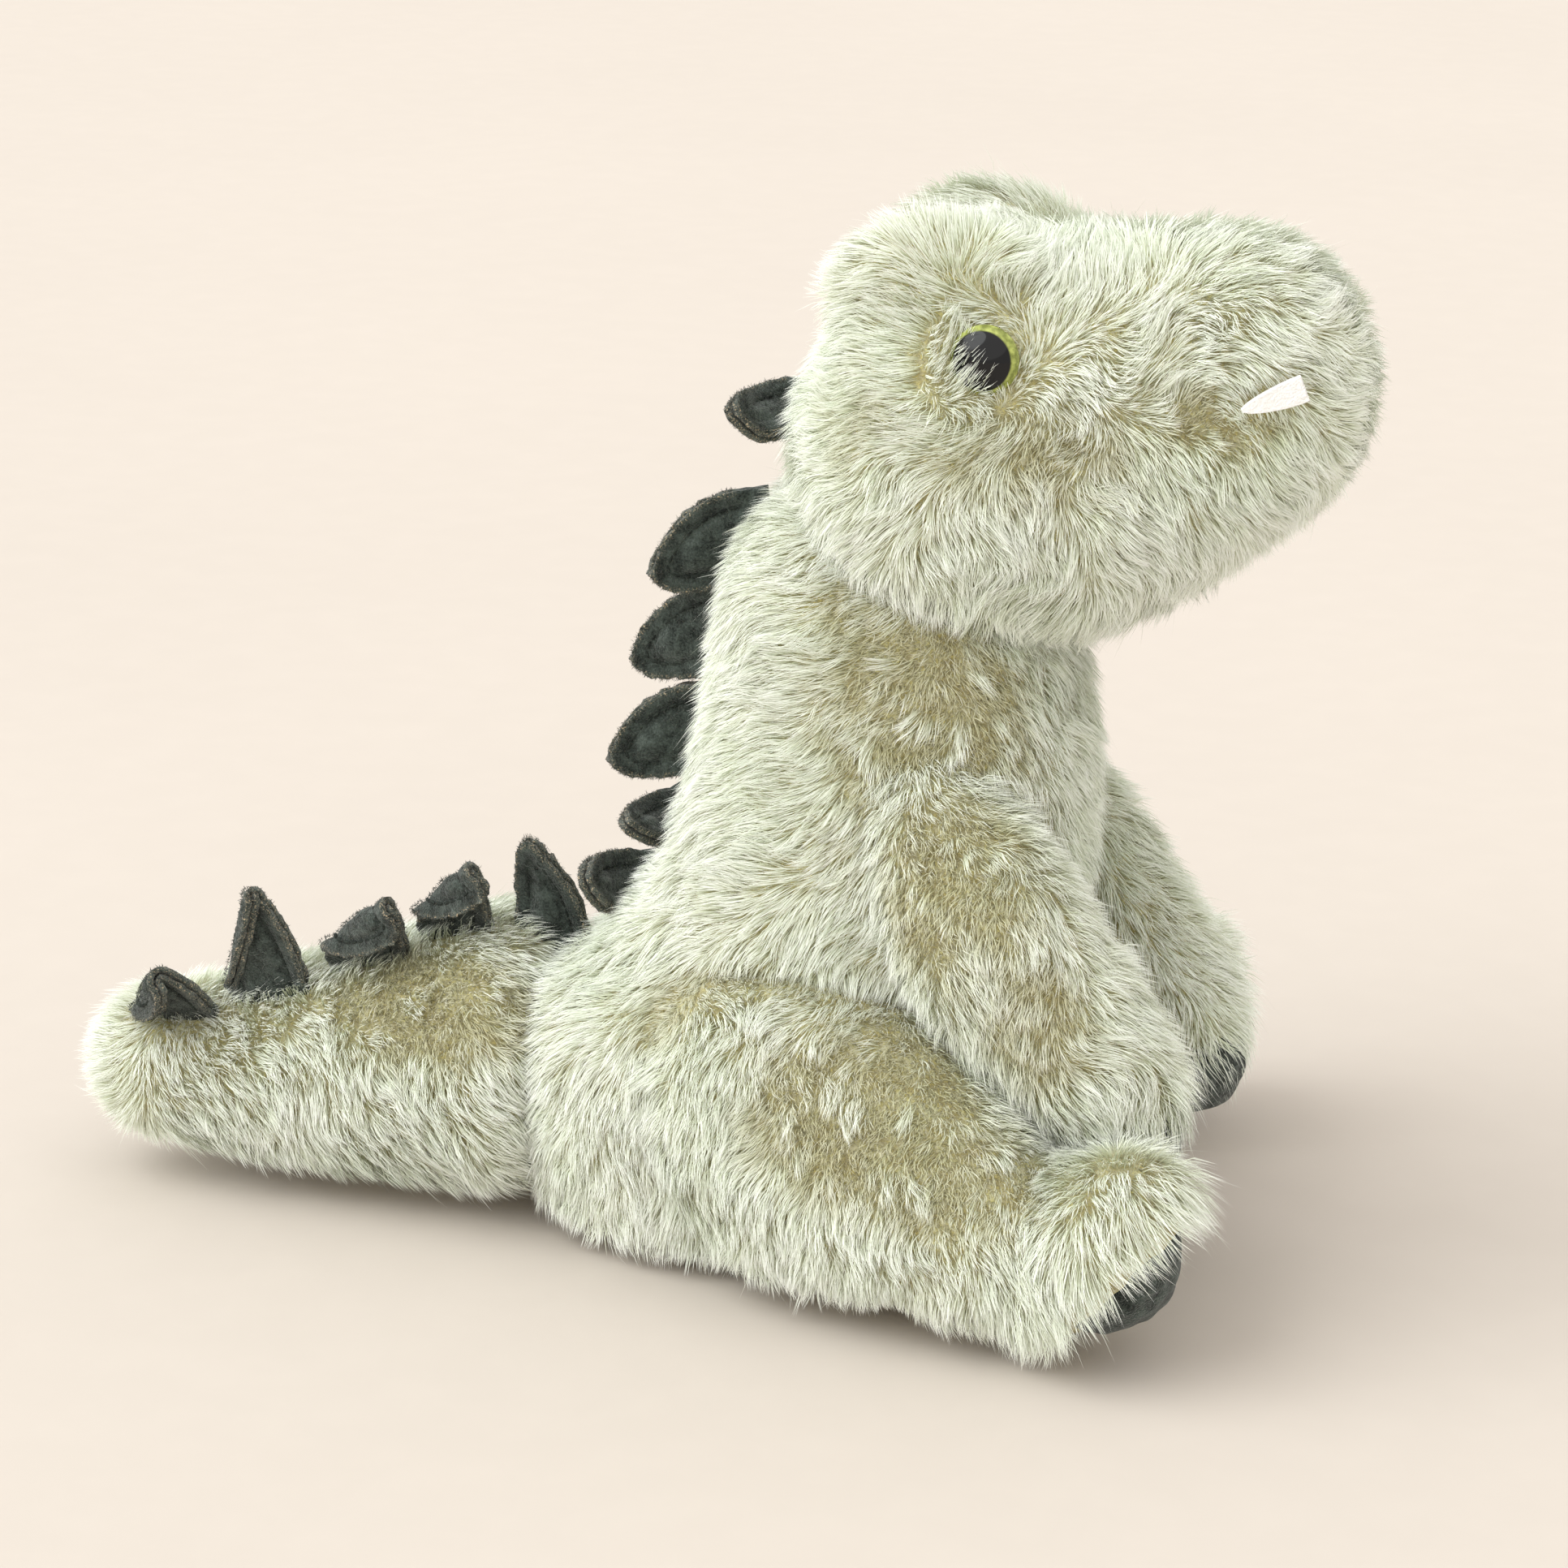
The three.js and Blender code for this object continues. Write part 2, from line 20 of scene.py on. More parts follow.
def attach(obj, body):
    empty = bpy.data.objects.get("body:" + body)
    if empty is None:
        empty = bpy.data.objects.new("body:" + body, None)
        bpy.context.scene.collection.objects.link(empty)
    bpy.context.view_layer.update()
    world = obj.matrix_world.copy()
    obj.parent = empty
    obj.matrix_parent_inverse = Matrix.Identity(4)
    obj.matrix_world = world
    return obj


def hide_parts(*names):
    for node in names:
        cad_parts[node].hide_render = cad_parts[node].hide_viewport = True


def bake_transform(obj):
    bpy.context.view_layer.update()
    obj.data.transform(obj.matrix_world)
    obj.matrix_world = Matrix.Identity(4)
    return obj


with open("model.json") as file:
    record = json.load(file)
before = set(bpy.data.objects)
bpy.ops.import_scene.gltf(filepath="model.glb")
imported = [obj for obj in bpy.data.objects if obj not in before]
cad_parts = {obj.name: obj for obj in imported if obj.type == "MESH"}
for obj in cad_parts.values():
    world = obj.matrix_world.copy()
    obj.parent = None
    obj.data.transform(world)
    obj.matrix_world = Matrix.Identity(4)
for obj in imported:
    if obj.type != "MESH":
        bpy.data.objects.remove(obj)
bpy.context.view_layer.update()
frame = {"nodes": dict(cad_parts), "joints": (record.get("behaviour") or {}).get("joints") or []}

MM = 0.001
SQUARENESS = 2.2  # of a padded tube's section; 2 is an ellipse
PILE_UNDER = 3.6 * MM  # how far the cloth lies under the part's surface, which is at half the pile
TABLE = 0.4 * MM  # the lowest that a hair reaches
MOST_HAIRS = 64000  # in one piece, which keeps it under 200,000 triangles

Array = np.ndarray
Object = bpy.types.Object
Material = bpy.types.Material
Socket = bpy.types.NodeSocket
Lay = Callable[[Array, Array], Array]
log = logging.getLogger("dinosaur")


class Side(Enum):
    """The toy's two sides, with the sign of Y on each."""

    LEFT = 1
    RIGHT = -1

    @property
    def label(self) -> str:
        """The side's name as the part's nodes end."""
        return self.name.lower()

    def mirror(self, point: Sequence[float]) -> Array:
        """Returns a point or a direction of the left side on this side."""
        return np.array(point, float) * (1, self.value, 1)


# ---- Small tools ----
def unit(vectors: Array) -> Array:
    """Returns the vectors at length 1."""
    return vectors / np.maximum(np.linalg.norm(vectors, axis=-1, keepdims=True), 1e-12)


def ease(values: Array | float, low: float, high: float) -> Array:
    """Returns 0 below low, 1 above high and a smooth step between them."""
    share = np.clip((np.asarray(values) - low) / (high - low), 0, 1)
    return share * share * (3 - 2 * share)


def joint_place(name: str) -> Array:
    """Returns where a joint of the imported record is.

    Args:
        name: the joint's name.

    Returns:
        The point in metres.
    """
    joint = next(j for j in frame["joints"] if j["name"] == name)
    return np.array(joint["pos_m"], float)


def select_only(*objects: Object) -> None:
    """Selects these objects and nothing else, and makes the first one active."""
    bpy.ops.object.select_all(action="DESELECT")
    for piece in objects:
        piece.select_set(True)
    bpy.context.view_layer.objects.active = objects[0]


def points_of(piece: Object) -> Array:
    """Returns the vertices of a mesh object as rows of x, y and z."""
    places = np.empty(len(piece.data.vertices) * 3, np.float32)
    piece.data.vertices.foreach_get("co", places)
    return places.reshape(-1, 3).astype(float)


def move_points(piece: Object, places: Array) -> None:
    """Puts the vertices of a mesh object at these places."""
    piece.data.vertices.foreach_set("co", places.astype(np.float32).ravel())
    piece.data.update()


def normals_of(piece: Object) -> Array:
    """Returns the vertex normals of a mesh object."""
    normals = np.empty(len(piece.data.vertices) * 3, np.float32)
    piece.data.vertex_normals.foreach_get("vector", normals)
    return normals.reshape(-1, 3).astype(float)


def give(piece: Object, name: str, values: Array) -> None:
    """Stores one number for each vertex as a named attribute."""
    attribute = piece.data.attributes.new(name, "FLOAT", "POINT")
    attribute.data.foreach_set("value", values.astype(np.float32))


def apply_modifier(piece: Object, kind: str, **settings: object) -> None:
    """Adds a modifier to a piece and applies it.

    Args:
        piece: the mesh object.
        kind: the modifier's type.
        settings: the modifier's own settings.
    """
    select_only(piece)
    modifier = piece.modifiers.new(kind.title(), kind)
    for key, value in settings.items():
        setattr(modifier, key, value)
    bpy.ops.object.modifier_apply(modifier=modifier.name)


def edit_all(piece: Object, *steps: Callable[[], object]) -> None:
    """Runs edit-mode operators on a whole piece.

    Args:
        piece: the mesh object.
        steps: calls of operators, in order.
    """
    select_only(piece)
    bpy.ops.object.mode_set(mode="EDIT")
    bpy.ops.mesh.select_all(action="SELECT")
    for step in steps:
        step()
    bpy.ops.object.mode_set(mode="OBJECT")


def face_outward(piece: Object) -> None:
    """Turns all of a closed piece's faces outward."""
    edit_all(piece, lambda: bpy.ops.mesh.normals_make_consistent(inside=False))


def add_shape(name: str, operator: Callable[..., object], **settings: object) -> Object:
    """Adds a primitive mesh under a name.

    Args:
        name: the piece's name.
        operator: the operator that adds it.
        settings: the operator's own settings.

    Returns:
        The piece.
    """
    bpy.ops.object.select_all(action="DESELECT")
    operator(**settings)
    piece = bpy.context.object
    piece.name = piece.data.name = name
    return piece


def ball(name: str, segments: int, rings: int) -> Object:
    """Adds a unit ball, ready to be shaped."""
    operator = bpy.ops.mesh.primitive_uv_sphere_add
    return add_shape(name, operator, segments=segments, ring_count=rings, radius=1)


def show(name: str, data: bpy.types.ID) -> Object:
    """Puts a mesh, a lamp or a camera in the scene."""
    made = bpy.data.objects.new(name, data)
    bpy.context.scene.collection.objects.link(made)
    return made


def join(name: str, pieces: Sequence[Object]) -> Object:
    """Joins pieces into the first of them, under a name.

    Args:
        name: its name.
        pieces: what is joined.

    Returns:
        The joined piece.
    """
    select_only(*pieces)
    bpy.ops.object.join()
    pieces[0].name = pieces[0].data.name = name
    return pieces[0]


def dress(piece: Object, *finishes: Material) -> None:
    """Gives a piece its materials and smooth shading.

    Args:
        piece: the mesh object.
        finishes: its materials, in order.
    """
    piece.data.materials.clear()
    for finish in finishes:
        piece.data.materials.append(finish)
    piece.data.polygons.foreach_set("use_smooth", [True] * len(piece.data.polygons))
    piece.data.update()


class Waves:
    """Smooth noise of about -1 to 1: a sum of waves that run in random directions."""

    def __init__(self, seed: int, wavelength: float, count: int = 14) -> None:
        """Draws the waves.

        Args:
            seed: of the random draw.
            wavelength: the distance from one swell to the next.
            count: how many waves there are.
        """
        draw = np.random.default_rng(seed)
        turns = unit(draw.normal(size=(count, 3)))
        self.waves = turns * draw.uniform(0.7, 1.4, (count, 1)) * math.tau / wavelength
        self.starts = draw.uniform(0, math.tau, count)
        self.share = math.sqrt(1 / count)

    def __call__(self, points: Array) -> Array:
        """Returns the noise at each point."""
        return np.sin(points @ self.waves.T + self.starts).sum(1) * self.share


class Nearness:
    """How far points are outside a closed padded form."""

    FAR = 40 * MM

    def __init__(self, form: Object) -> None:
        """Keeps the form's faces.

        Args:
            form: a closed mesh object.
        """
        places = points_of(form)
        faces = [tuple(face.vertices) for face in form.data.polygons]
        self.tree = BVHTree.FromPolygons([Vector(p) for p in places], faces)
        self.low = places.min(0)
        self.high = places.max(0)

    def outside(self, points: Array, margin: float) -> Array:
        """Returns each point's distance outside the form, below zero inside it.

        Args:
            points: rows of x, y and z.
            margin: beyond this distance from the form's box, points count as far.

        Returns:
            The distances.
        """
        distances = np.full(len(points), self.FAR)
        near = np.all((points > self.low - margin) & (points < self.high + margin), axis=1)
        for index in np.nonzero(near)[0]:
            point = Vector(points[index])
            place, normal, _, distance = self.tree.find_nearest(point)
            distances[index] = distance if (point - place).dot(normal) > 0 else -distance
        return distances

    def hit(self, start: Array, towards: Array) -> Array:
        """Returns where a line from inside comes out of the form."""
        far = Vector(start) + Vector(towards) * 0.4
        place, _, _, _ = self.tree.ray_cast(far, -Vector(towards))
        return np.array(place)


# ---- Finishes ----
class Graph:
    """Builds a material's or a group's nodes and links."""

    def __init__(self, tree: bpy.types.NodeTree) -> None:
        """Takes an empty node tree."""
        self.tree = tree

    def add(self, kind: str, settings: dict | None = None, **sockets: object) -> bpy.types.Node:
        """Adds a node.

        Args:
            kind: the node's type.
            settings: the node's own properties.
            sockets: values or linked outputs, by the input's name with _ for a space.

        Returns:
            The node.
        """
        node = self.tree.nodes.new(kind)
        for key, value in (settings or {}).items():
            setattr(node, key, value)
        for key, value in sockets.items():
            self.feed(node.inputs[key.replace("_", " ")], value)
        return node

    def feed(self, socket: Socket, value: object) -> None:
        """Links an output to a socket, or sets the socket's value.

        Args:
            socket: the input.
            value: a value or an output.
        """
        if isinstance(value, Socket):
            self.tree.links.new(value, socket)
        else:
            socket.default_value = value

    def mix(self, share: object, first: object, second: object, how: str = "MIX") -> Socket:
        """Mixes two colours.

        Args:
            share: how much of the second colour there is.
            first: a colour or an output.
            second: a colour or an output.
            how: the blend type.

        Returns:
            The mixed colour's output.
        """
        node = self.add("ShaderNodeMix", {"data_type": "RGBA", "blend_type": how})
        for index, value in ((0, share), (6, first), (7, second)):
            self.feed(node.inputs[index], value)
        return node.outputs[2]

    def ramp(self, value: Socket, stops: Sequence[tuple[float, tuple]]) -> Socket:
        """Turns a value into a colour through stops of place and colour.

        Args:
            value: a value or an output.
            stops: each stop's place and colour.

        Returns:
            The colour's output.
        """
        node = self.add("ShaderNodeValToRGB", Fac=value)
        elements = node.color_ramp.elements
        while len(elements) < len(stops):
            elements.new(1)
        for element, (place, colour) in zip(elements, stops):
            element.position = place
            element.color = colour
        return node.outputs["Color"]

    def stretch(self, value: Socket, low: float, high: float) -> Socket:
        """Maps low to high of a value onto 0 to 1, clamped."""
        node = self.add("ShaderNodeMapRange", Value=value, From_Min=low, From_Max=high)
        return node.outputs["Result"]

    def attribute(self, name: str) -> Socket:
        """Reads a number stored on the mesh."""
        return self.add("ShaderNodeAttribute", {"attribute_name": name}).outputs["Fac"]

    def place(self) -> Socket:
        """The object's own coordinates."""
        return self.add("ShaderNodeTexCoord").outputs["Object"]


def colour(red: float, green: float, blue: float) -> tuple[float, float, float, float]:
    """Returns the linear colour of red, green and blue as a screen shows them, each 0 to 255."""
    return (*(((c / 255 + 0.055) / 1.055) ** 2.4 for c in (red, green, blue)), 1.0)


def speckle_group() -> bpy.types.NodeTree:
    """Builds the fibre effect once: fine flecks over softer blotches, as masks of 0 to 1.

    Returns:
        The shader node group.
    """
    name = "fibre speckle"
    if name in bpy.data.node_groups:
        return bpy.data.node_groups[name]
    tree = bpy.data.node_groups.new(name, "ShaderNodeTree")
    tree.interface.new_socket("Place", in_out="INPUT", socket_type="NodeSocketVector")
    for label, default in (("Fleck Scale", 900.0), ("Blotch Scale", 120.0)):
        socket = tree.interface.new_socket(label, in_out="INPUT", socket_type="NodeSocketFloat")
        socket.default_value = default
    for label in ("Flecks", "Blotches", "Height"):
        tree.interface.new_socket(label, in_out="OUTPUT", socket_type="NodeSocketFloat")
    graph = Graph(tree)
    source = graph.add("NodeGroupInput").outputs
    fine = graph.add("ShaderNodeTexNoise", Vector=source["Place"], Scale=source["Fleck Scale"], Detail=3.0)
    soft = graph.add("ShaderNodeTexNoise", Vector=source["Place"], Scale=source["Blotch Scale"], Detail=4.0)
    flecks = graph.stretch(fine.outputs["Fac"], 0.4, 0.68)
    blotches = graph.stretch(soft.outputs["Fac"], 0.35, 0.65)
    height = graph.add("ShaderNodeMath", {"operation": "MULTIPLY_ADD"})
    for index, value in ((0, flecks), (1, 0.7), (2, blotches)):
        graph.feed(height.inputs[index], value)
    sink = graph.add("NodeGroupOutput")
    for label, output in (("Flecks", flecks), ("Blotches", blotches), ("Height", height.outputs[0])):
        graph.feed(sink.inputs[label], output)
    return tree


@dataclass(frozen=True)
class Finish:
    """A surface finish; each kind paints its own Base Color."""

    name: str
    roughness: float = 0.9
    sheen: float = 0.0
    specular: float = 0.3
    coat: float = 0.0
    bump: float = 0.0
    bump_depth: float = 0.3 * MM

    def paint(self, graph: Graph) -> tuple[object, Socket | None]:
        """Returns the colour, and the height for the bump or None."""
        raise NotImplementedError

    def speckle(self, graph: Graph, fine: float, soft: float) -> bpy.types.Node:
        """Adds the fibre effect at these scales."""
        return graph.add("ShaderNodeGroup", {"node_tree": speckle_group()},
                         Place=graph.place(), Fleck_Scale=fine, Blotch_Scale=soft)

    def material(self) -> Material:
        """Builds the material once and returns it.

        Returns:
            The material.
        """
        if self.name in bpy.data.materials:
            return bpy.data.materials[self.name]
        made = bpy.data.materials.new(self.name)
        made.use_nodes = True
        graph = Graph(made.node_tree)
        shader = made.node_tree.nodes["Principled BSDF"]
        shade, height = self.paint(graph)
        graph.feed(shader.inputs["Base Color"], shade)
        for socket, value in (
            ("Roughness", self.roughness),
            ("Specular IOR Level", self.specular),
            ("Sheen Weight", self.sheen),
            ("Coat Weight", self.coat),
            ("Coat Roughness", 0.03),
        ):
            shader.inputs[socket].default_value = value
        if height is not None and self.bump:
            bump = graph.add("ShaderNodeBump", Strength=self.bump, Distance=self.bump_depth, Height=height)
            graph.feed(shader.inputs["Normal"], bump.outputs["Normal"])
        return made


@dataclass(frozen=True)
class FurFinish(Finish):
    """Hairs with brown roots, sage middles and cream tips, darker where the pile is worn short, and darkened
    with painted shade along the seams.
    """

    tip: tuple = colour(254, 255, 252)
    middle: tuple = colour(240, 245, 233)
    low: tuple = colour(224, 228, 205)
    root: tuple = colour(192, 190, 156)
    # the darker ramp below colours both real worn patches and the painted shade along the seams
    worn_tip: tuple = colour(226, 225, 196)
    worn_middle: tuple = colour(198, 195, 159)
    worn_root: tuple = colour(148, 142, 106)
    green: tuple = colour(228, 238, 220)

    def paint(self, graph: Graph) -> tuple[object, Socket | None]:
        """Colours each hair from its root to its tip.

        Args:
            graph: the material's nodes.

        Returns:
            The colour, and the height for the bump or None.
        """
        along = graph.attribute("along")
        tint = graph.attribute("tint")
        long = graph.ramp(along, ((0, self.root), (0.25, self.low), (0.55, self.middle), (0.95, self.tip)))
        worn = graph.ramp(along, ((0, self.worn_root), (0.45, self.worn_middle), (1, self.worn_tip)))
        # the worn attribute holds real wear and painted shade at the seams; both mix in the darker ramp
        shade = graph.mix(graph.attribute("worn"), long, worn)
        drift = graph.add("ShaderNodeTexNoise", Vector=graph.place(), Scale=28.0, Detail=2.0)
        cool = graph.stretch(drift.outputs["Fac"], 0.45, 0.75)
        shade = graph.mix(cool, shade, graph.mix(0.35, shade, self.green, "MULTIPLY"))
        dark = graph.stretch(tint, 0.45, 0.0)
        shade = graph.mix(dark, shade, graph.mix(0.6, shade, self.low, "MULTIPLY"))
        pale = graph.stretch(tint, 0.62, 1.0)
        return graph.mix(pale, shade, graph.mix(0.45, shade, self.tip)), None


@dataclass(frozen=True)
class BackingFinish(Finish):
    """The knitted ground and dense underfur that the hairs stand on."""

    light: tuple = colour(206, 202, 168)
    dark: tuple = colour(170, 162, 124)

    def paint(self, graph: Graph) -> tuple[object, Socket | None]:
        """Mottles the ground with short underfur."""
        fibres = self.speckle(graph, 1400.0, 260.0).outputs
        shade = graph.mix(fibres["Blotches"], self.dark, self.light)
        return graph.mix(fibres["Flecks"], shade, self.light, "OVERLAY"), fibres["Height"]


@dataclass(frozen=True)
class FeltFinish(Finish):
    """Pressed felt: matted fibres, flecks and paler cut edges."""

    light: tuple = colour(84, 94, 88)
    dark: tuple = colour(28, 35, 31)
    edge: tuple = colour(122, 124, 112)
    fleck: tuple = colour(206, 184, 150)

    def paint(self, graph: Graph) -> tuple[object, Socket | None]:
        """Mats dark and light fibres, and lightens what the mesh marks as a cut edge.

        Args:
            graph: the material's nodes.

        Returns:
            The colour, and the height for the bump or None.
        """
        fibres = self.speckle(graph, 2100.0, 380.0).outputs
        shade = graph.mix(graph.stretch(fibres["Height"], 0.1, 1.5), self.dark, self.light)
        cut = graph.add("ShaderNodeTexNoise", Vector=graph.place(), Scale=2600.0, Detail=2.0)
        mottle = graph.stretch(cut.outputs["Fac"], 0.42, 0.66)
        rim = graph.mix(mottle, shade, graph.mix(graph.stretch(mottle, 0.75, 1.0), self.edge, self.fleck))
        return graph.mix(graph.attribute("edge"), shade, rim), fibres["Height"]


@dataclass(frozen=True)
class EyeFinish(Finish):
    """A safety eye: a black pupil in a ring of yellow-olive iris under a clear gloss."""

    pupil: tuple = colour(6, 6, 9)
    inner: tuple = colour(120, 128, 58)
    outer: tuple = colour(186, 196, 108)

    def paint(self, graph: Graph) -> tuple[object, Socket | None]:
        """Rings the pupil by the distance from the eye's axis that the mesh stores.

        Args:
            graph: the material's nodes.

        Returns:
            The colour, and the height for the bump or None.
        """
        distance = graph.attribute("ring")
        streak = graph.add("ShaderNodeTexNoise", Vector=graph.place(), Scale=700.0, Detail=3.0)
        iris = graph.mix(graph.stretch(streak.outputs["Fac"], 0.35, 0.7), self.inner, self.outer)
        return graph.mix(graph.stretch(distance, 0.83, 0.87), self.pupil, iris), None


@dataclass(frozen=True)
class PlainFinish(Finish):
    """A fibre, thread, cloth or plastic of one hue with its own flecks."""

    light: tuple = (0.8, 0.8, 0.8, 1)
    dark: tuple = (0.6, 0.6, 0.6, 1)
    fine: float = 1500.0
    soft: float = 200.0

    def paint(self, graph: Graph) -> tuple[object, Socket | None]:
        """Flecks a light hue with a darker one."""
        fibres = self.speckle(graph, self.fine, self.soft).outputs
        return graph.mix(graph.stretch(fibres["Height"], 0.0, 1.7), self.dark, self.light), fibres["Height"]


FUR = FurFinish("long sage fur", roughness=0.85, sheen=0.25, specular=0.2)
BACKING = BackingFinish("fur backing", bump=0.9, bump_depth=0.8 * MM, sheen=0.2)
DARK_FELT = FeltFinish("grey-green felt", bump=0.8, bump_depth=0.35 * MM, sheen=0.25, specular=0.15)
WHITE_FELT = PlainFinish("white felt", bump=0.7, light=colour(255, 255, 255), dark=colour(248, 247, 244),
                         fine=2200.0, soft=500.0)
THREAD = PlainFinish("dark thread", bump=0.6, light=colour(66, 74, 68), dark=colour(20, 24, 22), fine=3000.0)
EYE_GLOSS = EyeFinish("eye plastic", roughness=0.1, specular=0.25, coat=0.25)
EYE_STEM = PlainFinish("black plastic", roughness=0.3, light=colour(24, 24, 26), dark=colour(8, 8, 9))
WASHER = PlainFinish("white nylon", roughness=0.45, light=colour(236, 236, 228), dark=colour(206, 206, 196))
COTTON = PlainFinish("unbleached cotton", bump=0.8, light=colour(226, 218, 196), dark=colour(182, 172, 146))
TABLE_TOP = PlainFinish("pale table", roughness=0.8, light=colour(208, 199, 190), dark=colour(205, 196, 187),
                        fine=60.0, soft=3.0)


# ---- Soft forms ----
@dataclass(frozen=True)
class SoftForm:
    """A padded tube along a spine, in millimetres: half-widths and half-heights at each point."""

    spine: tuple
    across: tuple
    along: tuple
    start_round: float
    end_round: float
    level: bool = False

    def turned(self, degrees: float, about: Sequence[float]) -> "SoftForm":
        """Returns the form turned about a vertical line through a point."""
        angle = math.radians(degrees)
        spine = tuple(tuple(turn_level(np.array(p) - about, angle) + about) for p in self.spine)
        return replace(self, spine=spine)

    def mirrored(self, side: Side) -> "SoftForm":
        """Returns the left side's form on the side asked for."""
        return replace(self, spine=tuple(tuple(side.mirror(point)) for point in self.spine))

    def shaped(self, sphere: Array) -> Array:
        """Pulls a unit ball's points out along the spine.

        Args:
            sphere: points on the unit ball; its poles become the two ends.

        Returns:
            The points in metres.
        """
        spine = np.array(self.spine, float)
        steps = np.linspace(0, 1, 400)
        line = curve(spine, steps)
        run = np.concatenate([[0], np.cumsum(np.linalg.norm(np.diff(line, axis=0), axis=1))])
        share = (1 - sphere[:, 2]) / 2
        at = np.interp(share, run / run[-1], steps)
        centre = curve(spine, at)
        nudge = 1e-3
        ahead = unit(curve(spine, at + nudge) - curve(spine, at - nudge))
        if self.level:
            ahead = np.tile((0.0, 0.0, 1.0), (len(sphere), 1))
        side = np.array((0.0, 1.0, 0.0)) - ahead * ahead[:, 1:2]
        side = unit(side)
        up = np.cross(ahead, side)
        halves = curve(np.stack([self.across, self.along], 1).astype(float), at)
        from_end = np.maximum(0, np.maximum(1 - share / self.start_round, 1 - (1 - share) / self.end_round))
        halves = halves * np.sqrt(np.maximum(0, 1 - from_end**2))[:, None]
        turn = np.arctan2(sphere[:, 1], sphere[:, 0])
        wide, tall = (np.sign(v) * np.abs(v) ** (2 / SQUARENESS) for v in (np.cos(turn), np.sin(turn)))
        return (centre + side * (halves[:, :1] * wide[:, None]) + up * (halves[:, 1:] * tall[:, None])) * MM


def turn_level(vector: Array, angle: float) -> Array:
    """Turns a vector about +Z by an angle in radians."""
    c, s = math.cos(angle), math.sin(angle)
    return np.array((c * vector[0] - s * vector[1], s * vector[0] + c * vector[1], vector[2]))


def curve(points: Array, at: Array) -> Array:
    """Returns a Catmull-Rom curve through points, at shares from 0 to 1 of its parameter.

    Args:
        points: what it runs through.
        at: the shares along it.

    Returns:
        The points on the curve.
    """
    last = len(points) - 1
    ends = np.vstack([2 * points[0] - points[1], points, 2 * points[-1] - points[-2]])
    place = np.clip(at, 0, 1) * last
    index = np.minimum(place.astype(int), last - 1)
    t = (place - index)[:, None]
    a, b, c, d = (ends[index + k] for k in range(4))
    return 0.5 * (2 * b + (c - a) * t + (2 * a - 5 * b + 4 * c - d) * t**2 + (3 * b - a - 3 * c + d) * t**3)


@dataclass
class Oval:
    """A padded oval fused to a form: its half sizes along three directions, in millimetres."""

    at: Array
    size: tuple[float, float, float]
    axes: Array = field(default_factory=lambda: np.eye(3))

    def shaped(self, sphere: Array) -> Array:
        """Returns the oval's points in metres for the unit ball's points."""
        return (sphere * np.array(self.size) @ self.axes + self.at) * MM


@dataclass
class Patch:
    """A place where the pile is short and worn: an oval region in metres."""

    at: tuple[float, float, float]
    size: tuple[float, float, float]
    depth: float = 1.0

    def share(self, points: Array) -> Array:
        """Returns how worn each point is, 0 to 1."""
        reach = np.linalg.norm((points - np.array(self.at) * MM) / (np.array(self.size) * MM), axis=1)
        return self.depth * (1 - ease(reach, 0.55, 1.25))


